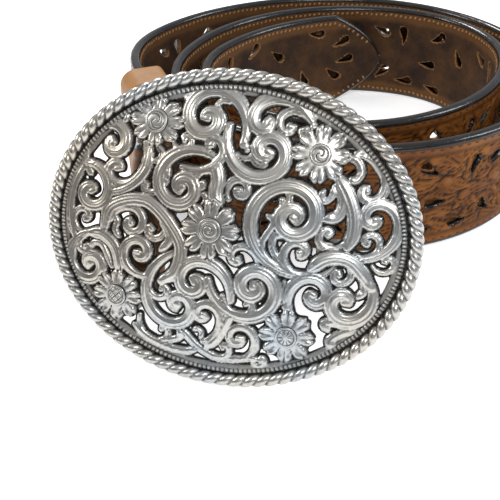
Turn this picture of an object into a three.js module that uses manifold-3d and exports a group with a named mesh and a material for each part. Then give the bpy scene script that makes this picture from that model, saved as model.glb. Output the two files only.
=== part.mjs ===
// A western belt, rolled up and standing on the edge of its strap, with a large
// oval filigree buckle leaning in front of the roll. Millimetres, +Z up.

import * as THREE from 'three';
import { mergeVertices } from 'three/addons/utils/BufferGeometryUtils.js';
import Module from 'manifold-3d';

const wasm = await Module();
wasm.setup();

const fitGap = 0.3;

// Strap
const strapWidth = 38;
const strapThickness = 3.6;
const returnThickness = 2;
const layerGap = 0.35;
const foldEase = 14;
const stationStep = 8;
const leadStep = 5;
const tipTaper = 20;
const tipCurve = 0.52;
const tipFlat = 5;

// Roll: the turns are arcs, each with a sweep in degrees and a radius
const rollRadius = 50;
const rollStart = { x: -37.8, y: 227.2, heading: 111 };
const liftRelease = 60;
const rollArcs = [
  { sweep: 66, radius: 1.1 },
  { sweep: 61, radius: 1.7 },
  { sweep: 99, radius: 1.28 },
  { sweep: 92, radius: 1.4 },
  { sweep: 80, radius: 1.08 },
  { sweep: 93, radius: 1.38 },
  { sweep: 82, radius: 0.84 },
  { sweep: 58, radius: 1.38 },
  { sweep: 69, radius: 1.0 },
  { sweep: 75, radius: 0.76 },
  { sweep: 58.3, radius: 1.48 },
];

// Cut-outs of the tooled strap: places are shares of one repeat and of the band's half width
const repeatLength = 51;
const bandHalfWidth = 14.3;
const dropLength = 7;
const dropWidth = 3.2;
const firstRepeat = -3;
const plainAfterKeeper = 12;
const repeatDrops = [
  { along: 0, across: -0.49, turn: -54 },
  { along: 0.41, across: -0.13, turn: -12 },
  { along: 0.69, across: 0.22, turn: 52 },
];
const tipDrops = [
  { fromTip: 0.266, across: 0.1, turn: -25 },
  { fromTip: 0.307, across: 0.66, turn: -36 },
  { fromTip: 0.366, across: -0.45, turn: 30 },
  { fromTip: 0.526, across: 0.89, turn: 0 },
  { fromTip: 0.646, across: -0.55, turn: 60 },
  { fromTip: 0.901, across: 0.4, turn: 28 },
  { fromTip: 1.161, across: 0.92, turn: -49 },
  { fromTip: 1.476, across: 0.85, turn: -95 },
];
const holeDiameter = 5;
const holePitch = 25.4;
const holeCount = 6;
const lastHoleToTip = 84.5;
const holeClear = 7;

// Keeper loop
const keeperLength = 13;
const keeperWall = 2;
const keeperEase = 0.8;
const billetSlot = 4.6;
const keeperCorner = 2.4;
const keeperRounding = 5.5;
const keeperSetBack = 13;

// Snaps that close the fold over the buckle's bar
const snapCap = 12;
const snapCapHeight = 1.6;
const snapPost = 5;
const snapBase = 10;
const snapBaseHeight = 1;
const snapGap = 0.5;
const snapShares = [0.47, 0.83];

// Buckle: an oval that leans back on its lower rim
const buckleWidth = 94.3;
const buckleHeight = 78.4;
const buckleX = -5.6;
const buckleY = 139.6;
const buckleLean = 62;
const buckleYaw = -12.6;
const ropeRadius = 1.55;
const ropeGroove = 0.28;
const ropeStrandCount = 88;
const ropeLayCount = 3;
const ledgeWidth = 1.75;
const beadWidth = 0.8;
const beadHeight = 1.6;
const ledgeHeight = 0.4;
const domeRise = 3.5;
const domeFoot = 1.3;
const plateThickness = 1.6;
const plateLip = 0.3;
const leafBroad = 1.3;
const leafStep = 0.3;
const smallestGap = 3;
const contourStep = 0.8;
const contourTolerance = 0.42;
const flowerRaise = 0.6;
const discRaise = 1;
const barDiameter = 4;
const barDepth = 9;
const barOffset = 22.5;
const leadSwing = 62;
const hookOffset = 25;
const hookDrop = 1;
const hookDiameter = 5;
const hookDepth = 7.6;

// Chart of the filigree, drawn on squares; the field is this many squares wide and high
const chartWide = 83.2;
const chartHigh = 67.8;

// Scrolls: eye of the curl, outer and eye radius, start angle, sweep, ribbon width and
// the radius half way round, 0 where the curl closes evenly
const scrolls = [
  { u: -6.7, v: 27.3, outer: 10.6, eye: 1.4, start: -29, sweep: 560, width: 2.8, half: 0 },
  { u: 7.1, v: 27.8, outer: 11, eye: 1.2, start: 8, sweep: 400, width: 2.6, half: 2.4 },
  { u: 12.8, v: 27.5, outer: 5.1, eye: 1.1, start: 12, sweep: 340, width: 1.7, half: 0 },
  { u: 16.8, v: 27, outer: 2.1, eye: 1.3, start: 60, sweep: -240, width: 1.4, half: 0 },
  { u: 8.4, v: 21.3, outer: 11, eye: 1.3, start: 154, sweep: 540, width: 2.8, half: 3.4 },
  { u: 3.6, v: 20.9, outer: 2.6, eye: 1, start: 205, sweep: 280, width: 1.2, half: 0 },
  { u: -4.9, v: 21.2, outer: 9.2, eye: 1.2, start: 221, sweep: 340, width: 1.9, half: 2.2 },
  { u: -11.2, v: 10.4, outer: 11, eye: 1.5, start: 45, sweep: 560, width: 2.8, half: 3.5 },
  { u: -11.9, v: 21.6, outer: 2.9, eye: 1.1, start: 200, sweep: 300, width: 1.4, half: 0 },
  { u: -28.8, v: 12.8, outer: 10, eye: 1.2, start: 46, sweep: -400, width: 2, half: 2.4 },
  { u: -30.4, v: 19, outer: 9.8, eye: 1.3, start: 235, sweep: -470, width: 2.6, half: 3.2 },
  { u: -35.3, v: 6.2, outer: 7.5, eye: 1.2, start: 103, sweep: -430, width: 2.4, half: 0 },
  { u: -36.9, v: -0.4, outer: 3.9, eye: 1, start: 258, sweep: -340, width: 1.4, half: 0 },
  { u: -34.3, v: -12.3, outer: 8.1, eye: 1.4, start: 95, sweep: 500, width: 2.6, half: 3.2 },
  { u: -36, v: -8, outer: 2.4, eye: 1.1, start: 95, sweep: 300, width: 1.4, half: 0 },
  { u: -10, v: -19.3, outer: 13.4, eye: 1.6, start: 98, sweep: 510, width: 2.6, half: 3.6 },
  { u: -14.6, v: -16, outer: 4.4, eye: 1, start: 122, sweep: 330, width: 1.4, half: 0 },
  { u: -23.6, v: -0.3, outer: 5.6, eye: 1.2, start: 178, sweep: -420, width: 1.7, half: 0 },
  { u: -18, v: -1, outer: 6.2, eye: 1, start: 114, sweep: -350, width: 1.5, half: 0 },
  { u: -21, v: -7.3, outer: 6.4, eye: 1.1, start: -69, sweep: -470, width: 2, half: 0 },
  { u: -14.2, v: -26.9, outer: 6.8, eye: 1, start: 153, sweep: 300, width: 1.5, half: 0 },
  { u: -3.3, v: -20.9, outer: 7.4, eye: 1.1, start: -88, sweep: 420, width: 2, half: 2.4 },
  { u: 2.2, v: -29.3, outer: 3.2, eye: 0.9, start: 215, sweep: 280, width: 1.3, half: 0 },
  { u: 5.9, v: -25.9, outer: 5.8, eye: 1.2, start: -80, sweep: 450, width: 1.9, half: 0 },
  { u: 11.8, v: -31, outer: 2, eye: 1, start: 180, sweep: 260, width: 1.1, half: 0 },
  { u: -6.2, v: -13, outer: 10, eye: 1.3, start: -19, sweep: 500, width: 2.7, half: 3 },
  { u: 8.5, v: -12, outer: 11.4, eye: 1.5, start: 179, sweep: 640, width: 2.8, half: 3.5 },
  { u: 7.2, v: -16.6, outer: 6.2, eye: 1, start: 168, sweep: 250, width: 1.6, half: 0 },
  { u: 3, v: 11.3, outer: 3.7, eye: 1.1, start: 226, sweep: -410, width: 1.7, half: 0 },
  { u: -6.2, v: 12, outer: 3.6, eye: 1, start: 42, sweep: 260, width: 1.6, half: 0 },
  { u: 4.4, v: -5.3, outer: 4.8, eye: 1.1, start: -9, sweep: 310, width: 1.5, half: 0 },
  { u: 16.3, v: 6.2, outer: 15, eye: 1.5, start: -60, sweep: -710, width: 2.9, half: 4.5 },
  { u: 30.6, v: -13, outer: 7.6, eye: 1.3, start: 36, sweep: -400, width: 2.8, half: 0 },
  { u: 13.3, v: 10, outer: 12, eye: 1.2, start: 245, sweep: -340, width: 1.5, half: 2.6 },
  { u: 18.7, v: -2, outer: 9.4, eye: 1.2, start: -7, sweep: -440, width: 1.7, half: 2.8 },
  { u: 28.8, v: -6.3, outer: 4.6, eye: 1.1, start: 160, sweep: -420, width: 1.5, half: 0 },
  { u: 25, v: 2.9, outer: 6.2, eye: 1.1, start: 48, sweep: -370, width: 1.6, half: 0 },
  { u: 35.2, v: 8, outer: 10.2, eye: 1.1, start: -100, sweep: 460, width: 2.2, half: 2.9 },
  { u: 32.8, v: 14.2, outer: 9.3, eye: 1.1, start: 113, sweep: -370, width: 1.9, half: 2.3 },
  { u: 34.6, v: 2.4, outer: 4.4, eye: 0.9, start: 224, sweep: 400, width: 1.3, half: 0 },
  { u: 39.2, v: -2, outer: 3.4, eye: 0.8, start: 200, sweep: 340, width: 1.1, half: 0 },
  { u: 23.4, v: -12.1, outer: 7.3, eye: 1.3, start: 222, sweep: -430, width: 2.5, half: 0 },
  { u: -20.2, v: 9.8, outer: 9, eye: 0.9, start: 65, sweep: -290, width: 1.5, half: 1.8 },
];

// Stems and leaves: ribbon width and the few places that each one passes through
const stems = [
  { width: 2.4, through: [[-20.6, 18.5], [-21, 14], [-23.5, 10.3], [-27, 8], [-30.8, 7]] },
  { width: 2, through: [[-38.2, 12.5], [-40.2, 8], [-41, 3], [-40.6, -2], [-39.3, -5.8]] },
  { width: 1.4, through: [[-34.5, -8], [-33.3, -6.6], [-31, -7.3], [-28.3, -12.3]] },
  {
    width: 2.8,
    through: [[-31.3, -3.5], [-29, 3.6], [-19.5, 5.6], [-10.8, -3], [-11, -10.5], [-14.8, -13.8]],
  },
  { width: 1.3, through: [[-28.9, 1.5], [-27.6, -0.3], [-28, -2.4], [-26.8, -4.2]] },
  { width: 1.8, through: [[-15.8, 1.5], [-13.8, -0.8], [-13.3, -3.2], [-15.3, -5.8]] },
  { width: 2.6, through: [[-26, -13.5], [-26.7, -9.5], [-28.3, -6.3], [-31.5, -4.2], [-35, -4.2]] },
  { width: 1.8, through: [[-21.5, -26.8], [-18, -29.5], [-13, -31.2], [-8, -31.8], [-5, -31]] },
  { width: 1.6, through: [[-14.5, -29.8], [-11.5, -29.3], [-9, -28], [-9.3, -26.3]] },
  { width: 1.8, through: [[-8.5, -25.8], [-6, -28.7], [-2.5, -31], [2, -32.2], [10.8, -30.8]] },
  { width: 1, through: [[-5.6, -25.5], [-4.6, -25], [-3.4, -26], [-3.8, -27.5]] },
  { width: 2.4, through: [[3.6, -19.5], [2.4, -22.5], [0.6, -26.5], [-1.8, -29.3]] },
  { width: 3, through: [[-3.8, 17], [-2.6, 13.5], [-2.8, 10], [-2, 7]] },
  { width: 1.2, through: [[-5.8, 9.5], [-5, 8], [-5.8, 5.8]] },
  { width: 1.4, through: [[4.6, 19.6], [6.2, 18], [7.8, 17.6], [8.4, 18.8]] },
  { width: 1.3, through: [[10.3, 6], [12, 4.5], [9.7, -0.5], [10.5, -3.5], [13.5, -6]] },
  { width: 1.5, through: [[14.8, 1.5], [12.8, 1.6], [12, -0.5], [13, -3.2], [15.8, -5.5]] },
  { width: 2.8, through: [[25.6, 16.8], [28.2, 13.4], [30.2, 9], [30.8, 4.5], [29.8, 0.5]] },
  { width: 2.8, through: [[22, -5.6], [24.5, -3.2], [28, -2.1], [32, -3.3], [36.7, -8.5]] },
  { width: 2.3, through: [[26.3, 14.3], [27.6, 11.3], [26.8, 8], [24.2, 6.7]] },
  { width: 1.3, through: [[25, 14.8], [24.8, 12.3], [23.4, 11], [22.4, 12.2], [22.7, 13.3]] },
  { width: 1.5, through: [[27, 21.8], [29.6, 21], [30.8, 18.6], [29.8, 16.6], [28.6, 16.8]] },
  { width: 1.6, through: [[16, -9.5], [15.8, -13], [17.3, -17]] },
  { width: 2, through: [[35.8, -17.3], [32, -18.6], [28.5, -18.3], [26.6, -19], [27.6, -20.4]] },
  { width: 2.1, through: [[34.5, -19.3], [31, -20.8], [28.5, -23], [29, -24.8]] },
  { width: 1.7, through: [[31, -4.2], [33.8, -6.2], [35, -9.2], [33.8, -11.3]] },
  { width: 1.1, through: [[-30, 24.3], [-28.8, 26.5], [-27.6, 26.2], [-27.8, 24.5]] },
  { width: 1.4, through: [[-18.8, 19.5], [-17.3, 18], [-18, 16], [-19.3, 15.8]] },
  { width: 1.2, through: [[-1.3, 31.5], [-3.6, 31.9], [-5, 30.5], [-4, 29.2]] },
  { width: 1.2, through: [[-8.5, 33], [-11.5, 32.6], [-13, 31.4]] },
];

// Flowers: centre, petal reach, how high the petals are for their width, and the centre disc
const petalCount = 8;
const flowers = [
  { u: -19.5, v: 25.5, reach: 7.5, squash: 0.84, disc: 2.8 },
  { u: 20.9, v: 21.7, reach: 7.2, squash: 1, disc: 2.4 },
  { u: -3.3, v: 0.8, reach: 7.7, squash: 1, disc: 2.9 },
  { u: -26.5, v: -19.4, reach: 7, squash: 1, disc: 2.6 },
  { u: 17.8, v: -23.5, reach: 7.2, squash: 1, disc: 2.6 },
];

const leather = new THREE.MeshStandardMaterial({ color: 0x96552a, roughness: 0.5, metalness: 0 });
const paleLeather = new THREE.MeshStandardMaterial({ color: 0xc8965a, roughness: 0.6, metalness: 0 });
const silver = new THREE.MeshStandardMaterial({ color: 0xa5a39e, roughness: 0.3, metalness: 0.9 });
const steel = new THREE.MeshStandardMaterial({ color: 0x8d8a84, roughness: 0.35, metalness: 0.8 });

const radians = THREE.MathUtils.degToRad;
const smoothstep = THREE.MathUtils.smoothstep;
const lerp = THREE.MathUtils.lerp;
const upright = new THREE.Vector3(0, 0, 1);

function toSolid(geometry) {
  geometry.deleteAttribute('normal');
  geometry.deleteAttribute('uv');
  const merged = mergeVertices(geometry, 1e-4);
  const vertProperties = new Float32Array(merged.attributes.position.array);
  const triVerts = new Uint32Array(merged.index.array);
  return new wasm.Manifold(new wasm.Mesh({ numProp: 3, vertProperties, triVerts }));
}

function toGeometry(solid) {
  const mesh = solid.getMesh();
  const geometry = new THREE.BufferGeometry();
  geometry.setAttribute('position', new THREE.BufferAttribute(mesh.vertProperties, 3));
  geometry.setIndex(new THREE.BufferAttribute(mesh.triVerts, 1));
  geometry.computeVertexNormals();
  return geometry;
}

function namedMesh(name, geometry, material) {
  const mesh = new THREE.Mesh(geometry, material);
  mesh.name = name;
  return mesh;
}

// Buckle frame: u to the right of the face, v up the face, w out of the face
const ropeU = buckleWidth / 2 - ropeRadius;
const ropeV = buckleHeight / 2 - ropeRadius;
const buckleZ = ropeV * Math.sin(radians(buckleLean)) + ropeRadius + ropeGroove;
const buckleTurn = new THREE.Euler(radians(buckleLean), 0, radians(buckleYaw), 'ZXY');
const bucklePlace = new THREE.Matrix4().makeRotationFromEuler(buckleTurn);
bucklePlace.setPosition(buckleX, buckleY, buckleZ);

function fromBuckle(u, v, w) {
  return new THREE.Vector3(u, v, w).applyMatrix4(bucklePlace);
}

function buckleDirection(u, v, w) {
  return new THREE.Vector3(u, v, w).transformDirection(bucklePlace);
}

// Place on an oval that runs at an even distance from the rope's centre line
function ovalPoint(angle, offset) {
  const normal = new THREE.Vector2(Math.cos(angle) / ropeU, Math.sin(angle) / ropeV).normalize();
  return new THREE.Vector2(ropeU * Math.cos(angle), ropeV * Math.sin(angle)).addScaledVector(normal, offset);
}

const beadOffset = -(ropeRadius + ledgeWidth + beadWidth / 2);
const fieldOffset = -(ropeRadius + ledgeWidth + beadWidth);
const fieldU = ropeU + fieldOffset;
const fieldV = ropeV + fieldOffset;
const squareU = (2 * fieldU) / chartWide;
const squareV = (2 * fieldV) / chartHigh;
const square = (squareU + squareV) / 2;

function ovalShare(u, v) {
  return Math.hypot(u / fieldU, v / fieldV);
}

function domeHeight(u, v) {
  return domeFoot + domeRise * (1 - Math.min(1, ovalShare(u, v)) ** 2);
}

// Joins two closed rows of corners, the second with as many corners or half or twice as many
function bridgeRows(faces, below, above) {
  const steps = Math.min(below.length, above.length);
  const pick = (row, share) => row[Math.round(share * (row.length / steps)) % row.length];
  for (let i = 0; i < steps; i += 1) {
    const [a, b] = [pick(below, i), pick(below, i + 1)];
    const [c, d] = [pick(above, i), pick(above, i + 1)];
    if (below.length > steps) {
      const middle = pick(below, i + 0.5);
      faces.push(a, middle, c, middle, d, c, middle, b, d);
    } else if (above.length > steps) {
      const middle = pick(above, i + 0.5);
      faces.push(a, middle, c, a, b, middle, b, d, middle);
    } else {
      faces.push(a, b, d, a, d, c);
    }
  }
}

// Rim: a twisted rope with a flat ledge and a bead line inside it, one closed ring
function rimSolid() {
  const ropeAngles = [-110, -50, 10, 70, 130, 168];
  const inner = [
    { offset: -(ropeRadius + ledgeWidth), height: ledgeHeight },
    { offset: beadOffset, height: beadHeight },
    { offset: fieldOffset, height: domeFoot - plateThickness - fitGap },
  ];
  const points = [];
  const rows = [];
  const addRow = (count, lay, profile) => {
    const row = [];
    for (let i = 0; i < count; i += 1) {
      const angle = 2 * Math.PI * (i / count + lay / (2 * ropeStrandCount));
      const { offset, height } = profile(i);
      const place = ovalPoint(angle, offset);
      row.push(points.length / 3);
      points.push(place.x, place.y, height);
    }
    rows.push(row);
  };
  ropeAngles.forEach((turn, k) => {
    addRow(2 * ropeStrandCount, (ropeLayCount * k) / (ropeAngles.length - 1), (i) => {
      const radius = ropeRadius + (i % 2 ? -ropeGroove : ropeGroove);
      return { offset: radius * Math.cos(radians(turn)), height: radius * Math.sin(radians(turn)) };
    });
  });
  for (const profile of inner) addRow(ropeStrandCount, ropeLayCount, () => profile);
  const faces = [];
  for (let k = 1; k < rows.length; k += 1) bridgeRows(faces, rows[k - 1], rows[k]);
  const first = [...rows[0].slice(ropeLayCount), ...rows[0].slice(0, ropeLayCount)];
  bridgeRows(faces, rows[rows.length - 1], first);
  const geometry = new THREE.BufferGeometry();
  geometry.setAttribute('position', new THREE.Float32BufferAttribute(points, 3));
  geometry.setIndex(faces);
  return toSolid(geometry);
}

function leafHalf(width) {
  return (leafBroad * square * width) / 2;
}

// Ribbons of the chart as chains of points with a half width at each
function scrollRibbon(scroll) {
  const steps = Math.ceil(Math.abs(scroll.sweep) / 24);
  const outerLog = Math.log(scroll.outer);
  const eyeLog = Math.log(scroll.eye);
  const evenLog = (outerLog + eyeLog) / 2;
  const bend = scroll.half ? Math.log(scroll.half) - evenLog : 0;
  const chain = [];
  for (let i = 0; i <= steps; i += 1) {
    const share = i / steps;
    const radius = Math.exp(lerp(outerLog, eyeLog, share) + 4 * bend * share * (1 - share));
    const angle = radians(scroll.start + scroll.sweep * share);
    chain.push({
      u: (scroll.u + radius * Math.cos(angle)) * squareU,
      v: (scroll.v + radius * Math.sin(angle)) * squareV,
      half: leafHalf(scroll.width) * Math.min(1, 0.6 + 3 * share, 0.5 + 1.6 * (1 - share)),
    });
  }
  chain.push({ u: scroll.u * squareU, v: scroll.v * squareV, half: 0.7 * scroll.eye * square });
  return chain;
}

function stemRibbon(stem) {
  const places = stem.through.map(([u, v]) => new THREE.Vector3(u * squareU, v * squareV, 0));
  const curve = new THREE.CatmullRomCurve3(places);
  const steps = 3 * (places.length - 1);
  return curve.getPoints(steps).map((place, i) => ({
    u: place.x,
    v: place.y,
    half: leafHalf(stem.width) * Math.min(1, 0.6 + (3 * Math.min(i, steps - i)) / steps),
  }));
}

const ribbons = [...scrolls.map(scrollRibbon), ...stems.map(stemRibbon)];

function petalReach(flower, angle) {
  return flower.reach * square * (0.92 + 0.08 * Math.cos(petalCount * angle));
}

// Distance from the metal of the face, below zero inside it, and how far its relief stands up
function metalDistance(u, v) {
  let nearest = Infinity;
  let rise = 0;
  for (const chain of ribbons) {
    for (let i = 1; i < chain.length; i += 1) {
      const a = chain[i - 1];
      const b = chain[i];
      const du = b.u - a.u;
      const dv = b.v - a.v;
      const along = ((u - a.u) * du + (v - a.v) * dv) / (du * du + dv * dv);
      const share = THREE.MathUtils.clamp(along, 0, 1);
      const width = lerp(a.half, b.half, share);
      const distance = Math.hypot(u - a.u - du * share, v - a.v - dv * share) - width;
      if (distance < nearest) {
        nearest = distance;
        rise = leafStep * (2 * width - square);
      }
    }
  }
  for (const flower of flowers) {
    const du = u - flower.u * squareU;
    const dv = (v - flower.v * squareV) / flower.squash;
    const distance = Math.hypot(du, dv) - petalReach(flower, Math.atan2(dv, du));
    if (distance < nearest) {
      nearest = distance;
      rise = flowerRaise;
    }
  }
  nearest = Math.min(nearest, Math.hypot(u - hookOffset, v + hookDrop) - hookDiameter / 2);
  const share = ovalShare(u, v);
  const slope = Math.hypot(u / fieldU ** 2, v / fieldV ** 2) / Math.max(share, 0.1);
  const toRim = (1 - share) / slope - plateLip;
  if (toRim < nearest) {
    nearest = toRim;
    rise = 0;
  }
  return { distance: nearest, rise };
}

// Closed outlines of the openings, followed along the squares of a fine grid
function openingOutlines() {
  const across = Math.ceil((2 * fieldU) / contourStep) + 3;
  const up = Math.ceil((2 * fieldV) / contourStep) + 3;
  const startU = (-(across - 1) * contourStep) / 2;
  const startV = (-(up - 1) * contourStep) / 2;
  const open = new Float64Array(across * up);
  for (let j = 0; j < up; j += 1) {
    for (let i = 0; i < across; i += 1) {
      open[j * across + i] = metalDistance(startU + i * contourStep, startV + j * contourStep).distance;
    }
  }
  const crossing = new Map();
  const next = new Map();
  const edgePoint = (i0, j0, i1, j1) => {
    const key = `${i0 + i1},${j0 + j1}`;
    if (!crossing.has(key)) {
      const a = open[j0 * across + i0];
      const b = open[j1 * across + i1];
      const share = THREE.MathUtils.clamp(a / (a - b), 0.04, 0.96);
      const u = startU + lerp(i0, i1, share) * contourStep;
      const v = startV + lerp(j0, j1, share) * contourStep;
      crossing.set(key, new THREE.Vector2(u, v));
    }
    return key;
  };
  for (let j = 0; j + 1 < up; j += 1) {
    for (let i = 0; i + 1 < across; i += 1) {
      const corners = [[i, j], [i + 1, j], [i + 1, j + 1], [i, j + 1]];
      const isOpen = corners.map(([x, y]) => open[y * across + x] > 0);
      const leaving = [];
      const entering = [];
      for (let k = 0; k < 4; k += 1) {
        const after = (k + 1) % 4;
        if (isOpen[k] !== isOpen[after]) {
          const key = edgePoint(...corners[k], ...corners[after]);
          (isOpen[k] ? leaving : entering).push({ key, side: k });
        }
      }
      for (const exit of leaving) {
        const partner = entering
          .slice()
          .sort((a, b) => ((a.side - exit.side + 4) % 4) - ((b.side - exit.side + 4) % 4))[0];
        next.set(exit.key, partner.key);
      }
    }
  }
  const outlines = [];
  while (next.size > 0) {
    const [first] = next.keys();
    const outline = [];
    let key = first;
    while (next.has(key)) {
      outline.push(crossing.get(key));
      const following = next.get(key);
      next.delete(key);
      key = following;
    }
    outlines.push(outline);
  }
  return outlines;
}

// Leaves out the points that lie within the tolerance of a straight side
function thinOut(points, tolerance) {
  if (points.length < 3) return points;
  const first = points[0];
  const last = points[points.length - 1];
  const side = new THREE.Vector2().subVectors(last, first);
  let farthest = 0;
  let split = 0;
  for (let i = 1; i < points.length - 1; i += 1) {
    const arm = new THREE.Vector2().subVectors(points[i], first);
    const away = side.length() > 0.01 ? Math.abs(side.cross(arm)) / side.length() : arm.length();
    if (away > farthest) {
      farthest = away;
      split = i;
    }
  }
  if (farthest < tolerance) return [first, last];
  const head = thinOut(points.slice(0, split + 1), tolerance);
  return [...head.slice(0, -1), ...thinOut(points.slice(split), tolerance)];
}

// Pierced plate: flat at first, then each corner is set on the dome, broad leaves a little higher
function plateSolid() {
  const rimSteps = 70;
  const edge = [];
  for (let i = 0; i < rimSteps; i += 1) {
    edge.push(ovalPoint((2 * Math.PI * i) / rimSteps, beadOffset));
  }
  const shape = new THREE.Shape(edge);
  for (const outline of openingOutlines()) {
    if (THREE.ShapeUtils.area(outline) < smallestGap) continue;
    shape.holes.push(new THREE.Path(thinOut([...outline, outline[0]], contourTolerance).slice(0, -1)));
  }
  const geometry = new THREE.ExtrudeGeometry(shape, { depth: 1, bevelEnabled: false, steps: 1 });
  const place = geometry.attributes.position;
  for (let i = 0; i < place.count; i += 1) {
    const u = place.getX(i);
    const v = place.getY(i);
    const onTop = place.getZ(i) > 0.5;
    const height = domeHeight(u, v) + (onTop ? metalDistance(u, v).rise : -plateThickness);
    place.setZ(i, height);
  }
  return toSolid(geometry);
}

// Disc at the centre of a flower, sunk half way into the plate
function discSolid(flower) {
  const u = flower.u * squareU;
  const v = flower.v * squareV;
  const sunk = plateThickness / 2;
  const radius = flower.disc * square;
  const height = sunk + flowerRaise + discRaise;
  const disc = new THREE.CylinderGeometry(radius * 0.85, radius, height, 12);
  disc.rotateX(Math.PI / 2);
  disc.translate(u, v, domeHeight(u, v) - sunk + height / 2);
  return toSolid(disc);
}

// Bar that the strap folds over, carried by a leg at each end
function baleSolid() {
  const side = strapWidth / 2 + fitGap + barDiameter / 2;
  const foot = domeHeight(barOffset, side) - plateThickness / 2;
  const turn = side - barDiameter / 2;
  const legEnd = barDiameter / 2 - barDepth;
  const path = new THREE.CurvePath();
  const at = (v, w) => new THREE.Vector3(-barOffset, v, w);
  path.add(new THREE.LineCurve3(at(side, foot), at(side, legEnd)));
  path.add(new THREE.QuadraticBezierCurve3(at(side, legEnd), at(side, -barDepth), at(turn, -barDepth)));
  path.add(new THREE.LineCurve3(at(turn, -barDepth), at(-turn, -barDepth)));
  path.add(new THREE.QuadraticBezierCurve3(at(-turn, -barDepth), at(-side, -barDepth), at(-side, legEnd)));
  path.add(new THREE.LineCurve3(at(-side, legEnd), at(-side, foot)));
  const section = new THREE.Shape();
  section.absarc(0, 0, barDiameter / 2, 0, 2 * Math.PI, false);
  return toSolid(new THREE.ExtrudeGeometry(section, {
    extrudePath: path,
    steps: 18,
    curveSegments: 4,
    bevelEnabled: false,
  }));
}

// Hook that goes through a hole of the strap: a round peg with a bent, rounded nose
function hookSolid() {
  const foot = domeHeight(hookOffset, hookDrop) - plateThickness / 2;
  const path = new THREE.CatmullRomCurve3([
    new THREE.Vector3(hookOffset, -hookDrop, foot),
    new THREE.Vector3(hookOffset, -hookDrop, foot / 2 - hookDepth / 2),
    new THREE.Vector3(hookOffset + hookDiameter * 0.2, -hookDrop, hookDiameter / 2 - hookDepth),
    new THREE.Vector3(hookOffset + hookDiameter * 0.8, -hookDrop, hookDiameter * 0.3 - hookDepth),
  ]);
  const section = new THREE.Shape();
  section.absarc(0, 0, hookDiameter / 2 - fitGap, 0, 2 * Math.PI, false);
  return toSolid(new THREE.ExtrudeGeometry(section, {
    extrudePath: path,
    steps: 6,
    curveSegments: 4,
    bevelEnabled: false,
  }));
}

function buckleMesh() {
  let solid = rimSolid().add(plateSolid()).add(baleSolid()).add(hookSolid());
  for (const flower of flowers) solid = solid.add(discSolid(flower));
  const mesh = namedMesh('buckle', toGeometry(solid), silver);
  mesh.position.set(buckleX, buckleY, buckleZ);
  mesh.rotation.copy(buckleTurn);
  return mesh;
}

// Course of the strap: from the bar to the keeper in one easy curve, then along the roll's arcs
const barCentre = fromBuckle(-barOffset, 0, -barDepth);
const barAxis = buckleDirection(0, 1, 0);
const leadAlong = buckleDirection(-Math.cos(radians(leadSwing)), 0, -Math.sin(radians(leadSwing)));
const leadOut = new THREE.Vector3().crossVectors(barAxis, leadAlong);
const outerBend = barDiameter / 2 + fitGap + strapThickness / 2;
const innerBend = barDiameter / 2 + fitGap + returnThickness / 2;
const layerOffset = strapThickness / 2 + layerGap + returnThickness / 2;
const keeperLift = keeperWall + keeperEase + strapWidth / 2;
const rollHeading = radians(rollStart.heading);
const rollAlong = new THREE.Vector3(Math.cos(rollHeading), Math.sin(rollHeading), 0);
const rollFirst = new THREE.Vector3(rollStart.x, rollStart.y, keeperLift);
const straightLength = keeperSetBack + keeperLength / 2 + 1;
const leadEnd = rollFirst.clone().addScaledVector(rollAlong, -straightLength);
const leadStart = barCentre.clone().addScaledVector(leadOut, outerBend);
const leadReach = leadStart.distanceTo(leadEnd) / 3;
const leadCurve = new THREE.CubicBezierCurve3(
  leadStart,
  leadStart.clone().addScaledVector(leadAlong, leadReach),
  leadEnd.clone().addScaledVector(rollAlong, -leadReach),
  leadEnd,
);
const leadLength = leadCurve.getLength();

function station(centre, along, up, halfWidth, halfThickness) {
  const width = up.clone().addScaledVector(along, -up.dot(along)).normalize();
  const out = new THREE.Vector3().crossVectors(width, along);
  return { centre, along, width, out, halfWidth, halfThickness };
}

function leadStation(distance) {
  const share = Math.min(1, distance / leadLength);
  const past = Math.max(0, distance - leadLength);
  const centre = leadCurve.getPointAt(share).addScaledVector(rollAlong, past);
  const along = leadCurve.getTangentAt(share);
  const up = barAxis.clone().lerp(upright, smoothstep(share, 0, 1));
  return station(centre, along, up, strapWidth / 2, strapThickness / 2);
}

const rollLength = rollArcs.reduce((sum, arc) => sum + radians(arc.sweep) * arc.radius * rollRadius, 0);

function rollStation(distance) {
  let { x, y } = rollStart;
  let heading = rollHeading;
  let left = distance;
  for (const arc of rollArcs) {
    const radius = arc.radius * rollRadius;
    const turn = Math.min(left / radius, radians(arc.sweep));
    x += radius * (Math.sin(heading) - Math.sin(heading - turn));
    y += radius * (Math.cos(heading - turn) - Math.cos(heading));
    heading -= turn;
    left -= turn * radius;
    if (left <= 0) break;
  }
  const z = lerp(keeperLift, strapWidth / 2, smoothstep(distance, 0, liftRelease));
  const fromTip = rollLength - distance;
  const tipShare = Math.min(1, Math.max(0, fromTip / tipTaper));
  const halfWidth = Math.max(tipFlat / 2, (strapWidth / 2) * tipShare ** tipCurve);
  const along = new THREE.Vector3(Math.cos(heading), Math.sin(heading), 0);
  return station(new THREE.Vector3(x, y, z), along, upright, halfWidth, strapThickness / 2);
}

function returnStation(distance) {
  const lead = leadStation(distance);
  const offset = lerp(outerBend + innerBend, layerOffset, smoothstep(distance, 0, foldEase));
  const centre = lead.centre.addScaledVector(lead.out, -offset);
  return station(centre, lead.along.negate(), lead.width, strapWidth / 2, returnThickness / 2);
}

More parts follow.
